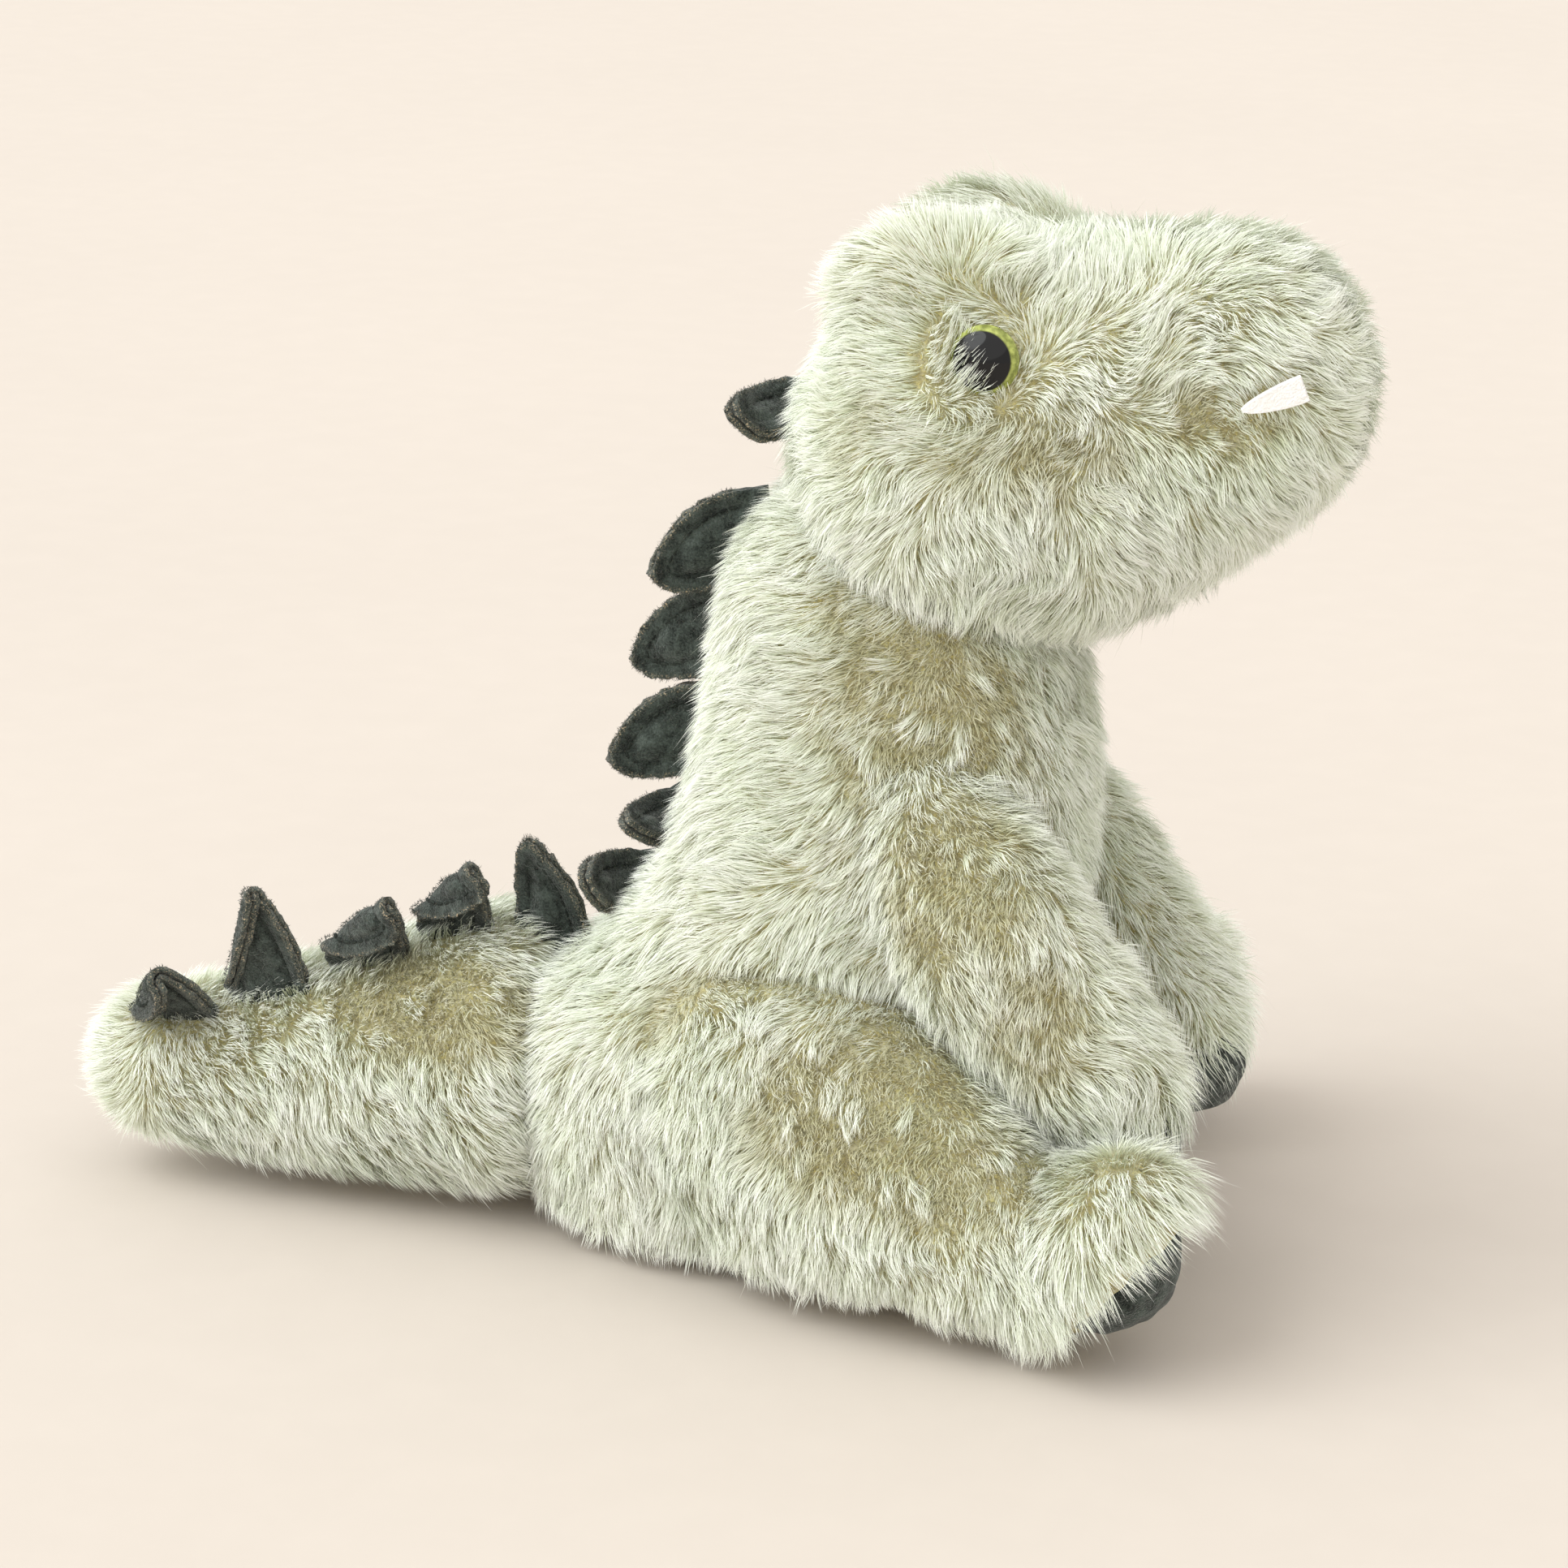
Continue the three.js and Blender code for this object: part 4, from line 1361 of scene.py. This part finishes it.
@dataclass
class Leg:
    """A leg, lying forward along the table, with a foot whose felt sole looks ahead and down."""

    side: Side
    turn: float
    joint: Array
    form: SoftForm = SoftForm(
        spine=((-18, 27, 38), (2, 27, 41), (25, 31, 42), (50, 38, 36), (74, 45, 27), (94, 50, 23)),
        across=(22, 25, 27, 26, 23, 19),
        along=(33, 38, 40, 36, 26, 19),
        start_round=0.36,
        end_round=0.14,
    )
    foot: tuple = (97, 50, 27)
    foot_size: tuple = (19, 22, 29)
    faces: tuple = (0.76, 0.16, -0.63)
    cap: float = 8.0
    sole: float = 0.66  # of the foot's width and height
    sole_low: float = 0.02  # how far up the foot the sole sits, as a share of its height

    def hip(self) -> Array:
        """The hip joint on the left side, in millimetres."""
        return np.array((self.joint[0], abs(self.joint[1]), self.joint[2])) / MM

    def own(self, point: Sequence[float], about: Array | None = None) -> Array:
        """Turns a point of the left leg out, and sets it on this leg's side."""
        hip = self.hip() if about is None else about
        turned = turn_level(np.array(point, float) - hip, math.radians(self.turn)) + hip
        return turned * np.array((1, self.side.value, 1))

    def oval(self) -> Oval:
        """Returns the foot's padded oval; its first axis is the way that the sole looks."""
        faces = unit(self.own(self.faces, np.zeros(3)))
        level = unit(np.cross((0.0, 0.0, 1.0), faces))
        return Oval(self.own(self.foot), self.foot_size, np.stack([faces, level, np.cross(faces, level)]))

    def padded(self) -> Padded:
        """Returns the leg's padded piece, with two points about the hip stored as its bend."""
        label = self.side.label
        ahead = self.own((1, 0, 0), np.zeros(3))
        bend = (self.joint - ahead * 14 * MM, self.joint + ahead * 26 * MM)
        form = self.form.turned(self.turn, self.hip()).mirrored(self.side)
        return Padded(f"leg_{label}_padding", f"leg_{label}", form,
                      (f"leg_skin_{label}", f"leg_stuffing_{label}"), ovals=(self.oval(),), fair=4,
                      bend=bend)

    def coat(self) -> Coat:
        """The pile hangs down over the thigh and covers the rim of the sole."""
        thigh = self.own((48, 56, 54))
        worn = [Patch(tuple(thigh), (26, 20, 20)), Patch(tuple(self.own((70, 62, 44))), (20, 14, 15), 0.8)]
        return Coat(404 + self.side.value, self.lay, patches=worn, keep=self.keep, longer=self.longer,
                    swirl=0.45)

    def lay(self, points: Array, normals: Array) -> Array:
        """Returns the way that the pile lies at each point.

        Args:
            points: where, as rows of x, y and z.
            normals: the skin's normals there; not used.

        Returns:
            The directions.
        """
        oval = self.oval()
        past = (points - oval.at * MM) @ oval.axes[0]
        foot = ease(past, -16 * MM, 2 * MM)[:, None]
        ahead = unit(self.own((1, 0, 0), np.zeros(3)))
        thigh = ahead * 0.12 + np.array((0.0, 0.0, -1.0))
        toe = oval.axes[0] * 0.6 + np.array((0.0, 0.0, -0.75))
        return thigh * (1 - foot) + toe * foot

    def keep(self, points: Array, normals: Array) -> Array:
        """Leaves the sole clear of fur.

        Args:
            points: where, as rows of x, y and z.
            normals: the skin's normals there; not used.

        Returns:
            Whether each hair grows.
        """
        oval = self.oval()
        past = (points - oval.at * MM) @ oval.axes[0]
        aside = (points - oval.at * MM) @ oval.axes[1:].T / MM / np.array(self.foot_size[1:])
        off_sole = np.linalg.norm(aside - (0, self.sole_low), axis=1) > self.sole + 0.06
        return (past < (self.cap - 1.0) * MM) | off_sole

    def longer(self, points: Array) -> Array:
        """Lengthens the pile round the sole, and draws it in at the ankle's seam.

        Args:
            points: where, as rows of x, y and z.

        Returns:
            The factors on the length.
        """
        oval = self.oval()
        past = (points - oval.at * MM) @ oval.axes[0] / MM
        rim = ease(past, -8, 4)
        ankle = np.exp(-(((past + 21) / 4.5) ** 2))
        return (1 + 0.55 * rim) * (1 - 0.5 * ankle)

    def build_sole(self) -> Object:
        """Stuffs a felt sole: an oval cut off flat, with its rim turned in under the fur.

        Returns:
            The sole.
        """
        label, oval = self.side.label, self.oval()
        deep, wide, tall = self.foot_size
        size = (deep + 1.5, wide * self.sole, tall * self.sole)
        low = oval.at + oval.axes[2] * tall * self.sole_low
        felt = Oval(low, size, oval.axes)
        return felt_cap(f"sole_{label}", felt, self.cap, f"foot_sole_{label}", f"leg_{label}")


@dataclass
class Arm:
    """An arm that hangs forward, with a felt palm under a tuft of long fur."""

    side: Side
    joint: Array
    spines: dict = field(default_factory=lambda: {
        Side.LEFT: ((42, 25, 130), (52, 29, 110), (68, 33, 85), (90, 29, 60), (108, 24, 36)),
        Side.RIGHT: ((46, 24, 131), (56, 29, 112), (72, 34, 86), (91, 29, 60), (104, 24, 38)),
    })
    across: tuple = (19, 20, 20, 19, 16)
    along: tuple = (19, 21, 23, 20, 16)

    def form(self) -> SoftForm:
        """Returns the arm's form on its side."""
        return SoftForm(self.spines[self.side], self.across, self.along, 0.42, 0.14).mirrored(self.side)

    def axis(self) -> tuple[Array, Array]:
        """Returns the hand's tip and the way that the forearm points, in millimetres."""
        wrist, tip = (np.array(p, float) for p in self.form().spine[-2:])
        return tip, unit(tip - wrist)

    def padded(self) -> Padded:
        """Returns the arm's padded piece, with two points about the shoulder stored as its bend."""
        label = self.side.label
        bend = (self.joint + np.array((-4, 0, 12)) * MM, self.joint + np.array((14, 0, -24)) * MM)
        return Padded(f"arm_{label}_padding", f"arm_{label}", self.form(),
                      (f"arm_skin_{label}", f"arm_stuffing_{label}"), bend=bend)

    def coat(self) -> Coat:
        """The pile runs down the arm and hangs past the palm."""
        s = self.side.value
        worn = [Patch((66, s * 52, 108), (20, 16, 25), 0.95), Patch((84, s * 50, 76), (12, 10, 16), 0.7)]
        return Coat(505 + s, self.lay, patches=worn, keep=self.keep, longer=self.longer, swirl=0.4)

    def lay(self, points: Array, normals: Array) -> Array:
        """Returns the way that the pile lies at each point."""
        low = ease(-points[:, 2], -100 * MM, -50 * MM)[:, None]
        return np.array((0.1, 0.0, -1.0)) * (1 - low) + np.array((0.62, 0.0, -0.8)) * low

    def keep(self, points: Array, normals: Array) -> Array:
        """Leaves the palm clear of fur, except above."""
        tip, out = self.axis()
        past = (points - tip * MM) @ out
        return past < (-1.0 + 5.5 * ease(normals[:, 2], -0.5, 0.3)) * MM

    def longer(self, points: Array) -> Array:
        """Lengthens the pile at the hand."""
        tip, out = self.axis()
        return 1 + 0.5 * ease((points - tip * MM) @ out, -24 * MM, -4 * MM)

    def build_palm(self) -> Object:
        """Stuffs a felt palm over the end of the arm.

        Returns:
            The palm.
        """
        label = self.side.label
        tip, out = self.axis()
        level = unit(np.cross((0.0, 0.0, 1.0), out))
        axes = np.stack([out, level, np.cross(out, level)])
        end = Oval(tip - out * 9.5 - (0, 0, 1.5), (12.5, 12.0, 12.0), axes)
        return felt_cap(f"palm_{label}", end, -1.0, f"hand_palm_{label}", f"arm_{label}")


def felt_cap(name: str, oval: Oval, cap: float, node: str, body: str) -> Object:
    """Stuffs a felt cap over the end of a padded oval.

    Args:
        name: the cap's name.
        oval: the oval; its first axis points out of the cap.
        cap: how far past the oval's middle the cap starts, in millimetres.
        node: the node that the cap stands for.
        body: the body that it rides on.

    Returns:
        The cap.
    """
    piece = ball(name, 72, 60)
    move_points(piece, oval.shaped(points_of(piece)))
    edit_all(piece, lambda: bpy.ops.mesh.normals_make_consistent(inside=False),
             lambda: bpy.ops.mesh.bisect(plane_co=(oval.at + oval.axes[0] * cap) * MM, plane_no=oval.axes[0],
                                         use_fill=True, clear_inner=True))
    apply_modifier(piece, "REMESH", mode="VOXEL", voxel_size=0.9 * MM, use_smooth_shade=True)
    apply_modifier(piece, "SMOOTH", factor=0.5, iterations=7)
    places = points_of(piece)
    past = (places - oval.at * MM) @ oval.axes[0] - cap * MM
    creases = Waves(31, 11 * MM)(places) * 0.35 + Waves(32, 5 * MM)(places) * 0.15
    places += normals_of(piece) * (creases * MM)[:, None]
    places[:, 2] = np.maximum(places[:, 2], 0.3 * MM)
    move_points(piece, places)
    give(piece, "edge", 0.7 * (1 - ease(past, 0.6 * MM, 1.6 * MM)))
    dress(piece, DARK_FELT.material())
    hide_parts(node)
    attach(piece, body)
    return piece


# ---- Felt ----
@dataclass(frozen=True)
class Fold:
    """A fold across a spike: what lies beyond a line turns over towards the right side."""

    x: float
    y: float
    towards: float
    angle: float
    radius: float = 2.1

    def bend(self, points: Array) -> Array:
        """Rolls the points beyond the line round the fold.

        Args:
            points: rows of x along the spike's root, y up it and z through it, in metres.

        Returns:
            The bent points.
        """
        heading = math.radians(self.towards)
        ahead = np.array((math.cos(heading), math.sin(heading), 0.0))
        radius, sweep = self.radius * MM, math.radians(self.angle)
        past = (points - np.array((self.x, self.y, 0)) * MM) @ ahead
        turn = np.clip(past / radius, 0, sweep)
        rest = np.maximum(past - radius * sweep, 0)
        arm = radius + points[:, 2]
        bent = points - ahead * np.maximum(past, 0)[:, None]
        bent = bent + ahead * (np.where(past > 0, arm * np.sin(turn) + rest * np.cos(turn), 0))[:, None]
        bent[:, 2] = np.where(past > 0, -radius + arm * np.cos(turn) - rest * np.sin(turn), points[:, 2])
        return bent


@dataclass(frozen=True)
class FeltCut:
    """A fin cut from felt: its size, in metres, and how its outline runs to the tip."""

    width: float = 19 * MM
    height: float = 21 * MM
    below: float = 7 * MM
    tip_power: float = 2.3
    skew: float = 4 * MM

    def half_width(self, up: Array) -> Array:
        """Returns half the width at a share of the height."""
        return self.width / 2 * np.maximum(0, 1 - np.clip(up, 0, 1) ** self.tip_power) ** 0.6

    def outline(self, steps: int = 200) -> Array:
        """Returns the cut edge from one end of the root over the tip to the other.

        Args:
            steps: how many points each edge has.

        Returns:
            The points of the edge.
        """
        up = np.sin(np.linspace(0, math.pi / 2, steps))
        half = self.half_width(up)
        lean = self.skew * up**1.6
        rise = np.stack([lean - half, up * self.height], 1)
        fall = np.stack([lean + half, up * self.height], 1)[::-1]
        return np.vstack([rise, fall])

    def from_edge(self, places: Array) -> Array:
        """Returns each point's distance from the cut edge."""
        edge = self.outline()
        return np.sqrt(((places[:, None, :2] - edge[None]) ** 2).sum(2).min(1))

    def sheet(self, name: str, thick: float, columns: int, rows: int) -> Object:
        """Cuts one layer of felt: a grid drawn to the outline and thickened.

        Args:
            name: the sheet's name.
            thick: its thickness.
            columns: of the grid.
            rows: of the grid.

        Returns:
            The sheet, lying in its own X and Y.
        """
        piece = add_shape(name, bpy.ops.mesh.primitive_grid_add, x_subdivisions=columns, y_subdivisions=rows,
                          size=2)
        grid = points_of(piece)
        share = (grid[:, 1] + 1) / 2
        root = self.below / (self.below + self.height)
        up = np.sin(np.clip((share - root) / (1 - root), 0, 1) * math.pi / 2)
        tall = np.where(share < root, (share / root - 1) * self.below, up * self.height)
        half = self.half_width(up)
        wide = grid[:, 0] * np.maximum(half, 0.35 * MM) + self.skew * up**1.6
        move_points(piece, np.column_stack([wide, tall, np.zeros(len(grid))]))
        apply_modifier(piece, "SOLIDIFY", thickness=thick, offset=0, use_even_offset=False)
        return piece


@dataclass(frozen=True)
class Spike:
    """Where a felt spike stands on the back, and how it leans and folds."""

    start: tuple[float, float]
    rise: float
    roll: float
    lean: float
    body: str
    skew: float = 4.0
    folds: tuple[Fold, ...] = ()
    height: float = 21.0
    twist: float = 0.0
    tip: float = 2.3
    width: float = 20.5


@dataclass
class Spikes:
    """The row of doubled, topstitched felt spikes from the head to the tail's end."""

    row: tuple[Spike, ...] = (
        Spike((40, 190), 4, 0, -46, "head", 4, (Fold(0, 9, 100, 35, 6),), twist=58, width=15),
        Spike((39, 167), -8, 0, -14, "torso", 5.5, (Fold(0, 6, 90, 14, 12),)),
        Spike((39, 146), -8, 0, 8, "torso", 5.5, (Fold(0, 7, 80, 12, 14),)),
        Spike((37, 122), -6, 0, -10, "torso", 5, (Fold(0, 6, 70, 16, 12),)),
        Spike((30, 92), 6, 0, -66, "torso", 2, (Fold(0, 8, 90, 22, 8),), twist=66, width=14),
        Spike((12, 60), 30, 0, -58, "torso", 2, (Fold(0, 8, 95, 26, 8),), twist=62, width=15),
        Spike((-38, 40), 84, 3, 8, "torso", 2.5, (Fold(0, 12, 100, 20, 14),), 29.0, tip=1.6, width=18),
        Spike((-60, 32), 86, 10, -14, "tail", -4.5, (Fold(-1.5, 8.5, 50, 150),), 24.0, width=18),
        Spike((-80, 30), 86, 20, -10, "tail", -6.5, (Fold(-1.5, 8.5, 52, 155),), 25.0),
        Spike((-103, 27), 84, 30, 18, "tail", 0, (Fold(3.0, 9, 24, 140, 1.7),), 26.0, tip=1.5),
        Spike((-124, 24), 82, 42, -4, "tail", -2, (Fold(0.5, 8, 38, 142),), 22.0),
    )
    cut: FeltCut = FeltCut()
    stitch_in: float = 3.7 * MM
    stitch_pitch: float = 2.3 * MM
    layer: float = 1.35 * MM

    RIM_HAIRS = 800
    FACE_HAIRS = 3600

    def build(self, skins: dict[str, Padded]) -> list[Object]:
        """Builds every spike with its stitching and its fuzz.

        Args:
            skins: the padded pieces by body.

        Returns:
            The pieces.
        """
        made = []
        for index, spike in enumerate(self.row, start=1):
            axes, at = self.stand(spike, skins[spike.body])
            cut = replace(self.cut, width=spike.width * MM, height=spike.height * MM, skew=spike.skew * MM,
                          tip_power=spike.tip)
            felt = self.felt(f"spike_{index:02d}_felt", cut)
            thread = self.thread(f"spike_{index:02d}_thread", cut)
            fuzz = self.fuzz(f"spike_{index:02d}_fuzz", cut, index)
            for piece in (felt, thread, fuzz):
                self.bend(piece, spike, axes, at)
                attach(piece, spike.body)
            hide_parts(f"spike_{index:02d}")
            dress(felt, DARK_FELT.material())
            dress(thread, THREAD.material())
            dress(fuzz, DARK_FELT.material())
            made += [felt, thread, fuzz]
        return made

    def stand(self, spike: Spike, padded: Padded) -> tuple[Array, Array]:
        """Returns a spike's axes (along the back, out, through) and its root.

        Args:
            spike: the spike.
            padded: the piece that it stands on.

        Returns:
            The axes and the root.
        """
        rise, roll, lean = (math.radians(a) for a in (spike.rise, spike.roll, spike.lean))
        upright = np.array((0.0, -math.sin(roll), math.cos(roll)))
        back = np.array((1.0, 0.0, 0.0))
        out = -back * math.cos(rise) + upright * math.sin(rise)
        wide = -back * math.sin(rise) - upright * math.cos(rise)
        start = np.array((spike.start[0], 0.0, spike.start[1])) * MM
        at = padded.near.hit(start, out) + out * PILE_UNDER
        out = np.array(Matrix.Rotation(lean, 3, Vector(wide)) @ Vector(out))
        wide = np.array(Matrix.Rotation(math.radians(spike.twist), 3, Vector(out)) @ Vector(wide))
        return np.stack([wide, out, np.cross(wide, out)]), at

    def bend(self, piece: Object, spike: Spike, axes: Array, at: Array) -> None:
        """Folds a piece as its spike is folded and stands it in place.

        Args:
            piece: the mesh object.
            spike: the spike.
            axes: along the back, out and through.
            at: the spike's root.
        """
        places = points_of(piece)
        for fold in spike.folds:
            places = fold.bend(places)
        places = places @ axes + at
        places[:, 2] = np.maximum(places[:, 2], TABLE)
        move_points(piece, places)

    def pinch(self, cut: FeltCut, places: Array) -> Array:
        """Returns how far a layer's middle lies from the seam between the layers.

        Args:
            cut: the spike's outline.
            places: points of the layer.

        Returns:
            The distances.
        """
        inside = cut.from_edge(places)
        puff = ease(inside, self.stitch_in, self.stitch_in + 4 * MM)
        groove = np.exp(-(((inside - self.stitch_in) / (0.75 * MM)) ** 2))
        lip = 1 - ease(inside, 0, self.stitch_in)
        return self.layer * 0.52 + (0.75 * puff + 0.3 * lip - 0.42 * groove) * MM

    def felt(self, name: str, cut: FeltCut) -> Object:
        """Sews two layers of felt together.

        Args:
            name: the spike's name.
            cut: its outline.

        Returns:
            The spike, lying in its own X and Y.
        """
        layers = []
        for sign in (1, -1):
            layer = cut.sheet(f"{name}_{sign}", self.layer, 30, 34)
            places = points_of(layer)
            ragged = Waves(71 + sign, 1.7 * MM)(places) * 0.16 + Waves(75 + sign, 4 * MM)(places) * 0.14
            edge = cut.from_edge(places)
            places[:, 2] += sign * self.pinch(cut, places)
            places[:, :2] *= 1 + (ragged * np.exp(-edge / (1 * MM)) * MM / (8 * MM))[:, None]
            places[:, 2] += Waves(81, 13 * MM)(places * (1, 1, 0)) * 0.35 * MM
            move_points(layer, places)
            give(layer, "edge", (1 - ease(edge, 0.25 * MM, 1.15 * MM)) * (places[:, 1] > 0))
            face_outward(layer)
            layers.append(layer)
        return join(name, layers)

    def thread(self, name: str, cut: FeltCut) -> Object:
        """Runs a topstitch round the spike on both faces.

        Args:
            name: the thread's name.
            cut: the spike's outline.

        Returns:
            The stitches.
        """
        inner = replace(cut, width=cut.width - 2 * self.stitch_in, height=cut.height - self.stitch_in,
                        skew=cut.skew * 0.85)
        line = inner.outline(400)
        run = np.concatenate([[0], np.cumsum(np.linalg.norm(np.diff(line, axis=0), axis=1))])
        count = int(run[-1] / self.stitch_pitch)
        stitch = ball("stitch", 6, 5)
        lengthwise = np.array(((0, 1, 0), (0, 0, 1), (1, 0, 0)), float)
        shape = points_of(stitch) * np.array((0.36, 0.36, 1.0)) @ lengthwise
        stitch.data.calc_loop_triangles()
        faces = np.array([tuple(triangle.vertices) for triangle in stitch.data.loop_triangles])
        bpy.data.objects.remove(stitch)
        points, index = [], []
        for k in range(count):
            here = np.array([np.interp((k + 0.5) * self.stitch_pitch, run, line[:, c]) for c in (0, 1)])
            there = np.array([np.interp((k + 0.6) * self.stitch_pitch, run, line[:, c]) for c in (0, 1)])
            along = unit(there - here)
            level = self.pinch(cut, here[None])[0] + self.layer / 2
            for sign in (1, -1):
                flat = np.stack([(*along, 0), (-along[1], along[0], 0), (0, 0, 1)])
                middle = np.array((*here, sign * (level - 0.05 * MM)))
                place = shape * self.stitch_pitch * 0.45 @ flat + middle
                index.append(faces + len(points) * len(shape))
                points.append(place)
        return plain_mesh(name, np.vstack(points), np.vstack(index))

    def fuzz(self, name: str, cut: FeltCut, seed: int) -> Object:
        """Raises loose fibres along the cut edge and over both faces.

        Args:
            name: the fuzz's name.
            cut: the spike's outline.
            seed: of the random draw.

        Returns:
            The fibres.
        """
        draw = np.random.default_rng(900 + seed)
        edge = cut.outline(400)
        rim = edge[draw.integers(6, len(edge) - 6, self.RIM_HAIRS)]
        rim = rim + draw.normal(0, 0.12 * MM, rim.shape)
        across = draw.uniform(-1, 1, self.FACE_HAIRS)
        tall = draw.uniform(0.02, 0.97, self.FACE_HAIRS)
        face = np.column_stack([across * cut.half_width(tall) + cut.skew * tall**1.6, tall * cut.height])
        flat = np.vstack([rim, face])
        depth = self.pinch(cut, flat) + self.layer / 2
        side = np.where(draw.random(len(flat)) < 0.5, -1, 1)
        is_rim = np.arange(len(flat)) < len(rim)
        level = np.where(is_rim, draw.uniform(-1, 1, len(flat)), side) * depth * 0.98
        root = np.column_stack([flat, level])
        middle = np.array((cut.skew * 0.4, cut.height * 0.35))
        outward = np.column_stack([unit(flat - middle), np.zeros(len(flat))])
        up = np.column_stack([np.zeros((len(flat), 2)), side])
        towards = np.where(is_rim[:, None], outward + 0.4 * up, up * 0.55 + 0.25 * outward)
        towards = unit(towards + draw.normal(0, 0.5, towards.shape))
        length = draw.uniform(0.4, 1.15, (len(flat), 1)) * MM
        flatness = unit(np.cross(towards, draw.normal(size=towards.shape))) * 0.05 * MM
        mid = root + towards * length * 0.5
        tip = mid + unit(towards + draw.normal(0, 0.7, towards.shape)) * length * 0.5
        rows = np.stack([root + flatness, root - flatness, mid + flatness, mid - flatness, tip], 1)
        made = ribbon_mesh(name, rows, -math.inf)
        give(made, "edge", np.repeat(np.where(is_rim, 0.75, 0.18), 5))
        return made


def plain_mesh(name: str, places: Array, faces: Array) -> Object:
    """Builds a mesh object from points and triangles."""
    mesh = bpy.data.meshes.new(name)
    mesh.from_pydata(places.tolist(), [], faces.tolist())
    return show(name, mesh)


# ---- What lies inside ----
@dataclass
class Insides:
    """The parts that the fur hides: the seat's panel and pellet bag and the eyes' washers."""

    finishes: dict = field(default_factory=lambda: {
        "seat_panel": BACKING, "pellet_bag": COTTON, "eye_washer_left": WASHER, "eye_washer_right": WASHER,
    })

    def build(self) -> list[str]:
        """Finishes the nodes that stay as they are, and returns their names.

        Returns:
            The nodes' names.
        """
        for name, finish in self.finishes.items():
            node = frame["nodes"][name]
            if not node.data.materials:
                node.data.materials.append(finish.material())
            for slot in node.material_slots:
                slot.material = finish.material()
        return list(self.finishes)


# ---- The studio ----
@dataclass
class Studio:
    """A pale table under soft light, and the camera."""

    azimuth: float = 17.0
    elevation: float = 18.0
    distance: float = 1.0
    target: tuple = (0.014, 0.0, 0.106)
    lens: float = 103.6
    sensor: float = 36.0
    radius: float = 6.0

    def build(self) -> None:
        """Lays the table, and sets the lights and the camera."""
        table = add_shape("table", bpy.ops.mesh.primitive_circle_add, vertices=96, radius=self.radius,
                          fill_type="NGON")
        table.data.materials.append(TABLE_TOP.material())
        self.light("window", (-0.85, -0.6, 1.0), 56.0, 1.7, (0.96, 1.0, 1.0))
        self.light("sky", (-0.2, -0.5, 1.0), 120.0, 1.1, (1.0, 1.0, 0.99))
        world = bpy.data.worlds.new("room")
        world.use_nodes = True
        backdrop = world.node_tree.nodes["Background"]
        backdrop.inputs["Color"].default_value = colour(255, 251, 245)
        backdrop.inputs["Strength"].default_value = 0.86
        bpy.context.scene.world = world
        bpy.context.scene.view_settings.view_transform = "Standard"
        self.camera()

    def light(self, name: str, towards: tuple, spread: float, strength: float, tint: tuple) -> None:
        """Adds a wide soft light that lights the whole table evenly.

        Args:
            name: the light's name.
            towards: the way to it from the toy.
            spread: the angle that it fills, in degrees.
            strength: in watts on each square metre.
            tint: its colour.
        """
        lamp = bpy.data.lights.new(name, "SUN")
        lamp.angle = math.radians(spread)
        lamp.energy = strength
        lamp.color = tint
        holder = show(name, lamp)
        holder.location = towards
        holder.rotation_euler = (-Vector(towards)).to_track_quat("-Z", "Y").to_euler()

    def camera(self) -> None:
        """Adds the camera and looks through it."""
        turn, tilt = math.radians(self.azimuth), math.radians(self.elevation)
        back = Vector((math.sin(turn) * math.cos(tilt), -math.cos(turn) * math.cos(tilt), math.sin(tilt)))
        eye = bpy.data.cameras.new("camera")
        eye.lens = self.lens
        eye.sensor_width = self.sensor
        eye.clip_start = 0.01
        holder = show("camera", eye)
        holder.location = Vector(self.target) + back * self.distance
        holder.rotation_euler = (-back).to_track_quat("-Z", "Y").to_euler()
        bpy.context.scene.camera = holder


@dataclass
class Dinosaur:
    """The whole toy, sub-assembly by sub-assembly."""

    torso: Torso = field(default_factory=Torso)
    head: Head = field(default_factory=lambda: Head(joint_place("head_nod")))
    tail: Tail = field(default_factory=lambda: Tail(joint_place("tail_swing")))
    legs: tuple = field(default_factory=lambda: (
        Leg(Side.LEFT, 25.0, joint_place("leg_left_splay")),
        Leg(Side.RIGHT, 0.0, joint_place("leg_right_splay"))))
    arms: tuple = field(default_factory=lambda: (
        Arm(Side.LEFT, joint_place("arm_left_swing")),
        Arm(Side.RIGHT, joint_place("arm_right_swing"))))
    spikes: Spikes = field(default_factory=Spikes)
    insides: Insides = field(default_factory=Insides)

    def build(self) -> None:
        """Builds the padding, then the fur on it, then the trim."""
        parts = [self.torso, self.head, self.tail, *self.legs, *self.arms]
        padded = {part.padded().body: (part.padded(), part) for part in parts}
        for body, (piece, _) in padded.items():
            piece.build()
            log.info("padding of %s", body)
        near = {body: piece.near for body, (piece, _) in padded.items()}
        seams = {
            "torso": ("tail", "leg_left", "leg_right"),
            "tail": ("torso",),
            "leg_left": ("arm_left", "torso"),
            "leg_right": ("arm_right", "torso"),
        }
        for body, (piece, part) in padded.items():
            others = {name: form for name, form in near.items() if name != body}
            piece.finish(part.coat(), others, seams.get(body, ()))
        for side in Side:
            self.head.build_eye(side)
            self.head.build_fang(side)
            log.info("eye and fang, %s", side.label)
        for leg in self.legs:
            log.info("built %s", leg.build_sole().name)
        for arm in self.arms:
            log.info("built %s", arm.build_palm().name)
        for piece in self.spikes.build({body: piece for body, (piece, _) in padded.items()}):
            log.info("built %s", piece.name)
        for name in self.insides.build():
            log.info("finished %s", name)


def main() -> None:
    """Builds the toy and its studio in order."""
    logging.basicConfig(level=logging.INFO, format="%(name)s: %(message)s")
    Dinosaur().build()
    Studio().build()


if __name__ == "__main__":
    main()
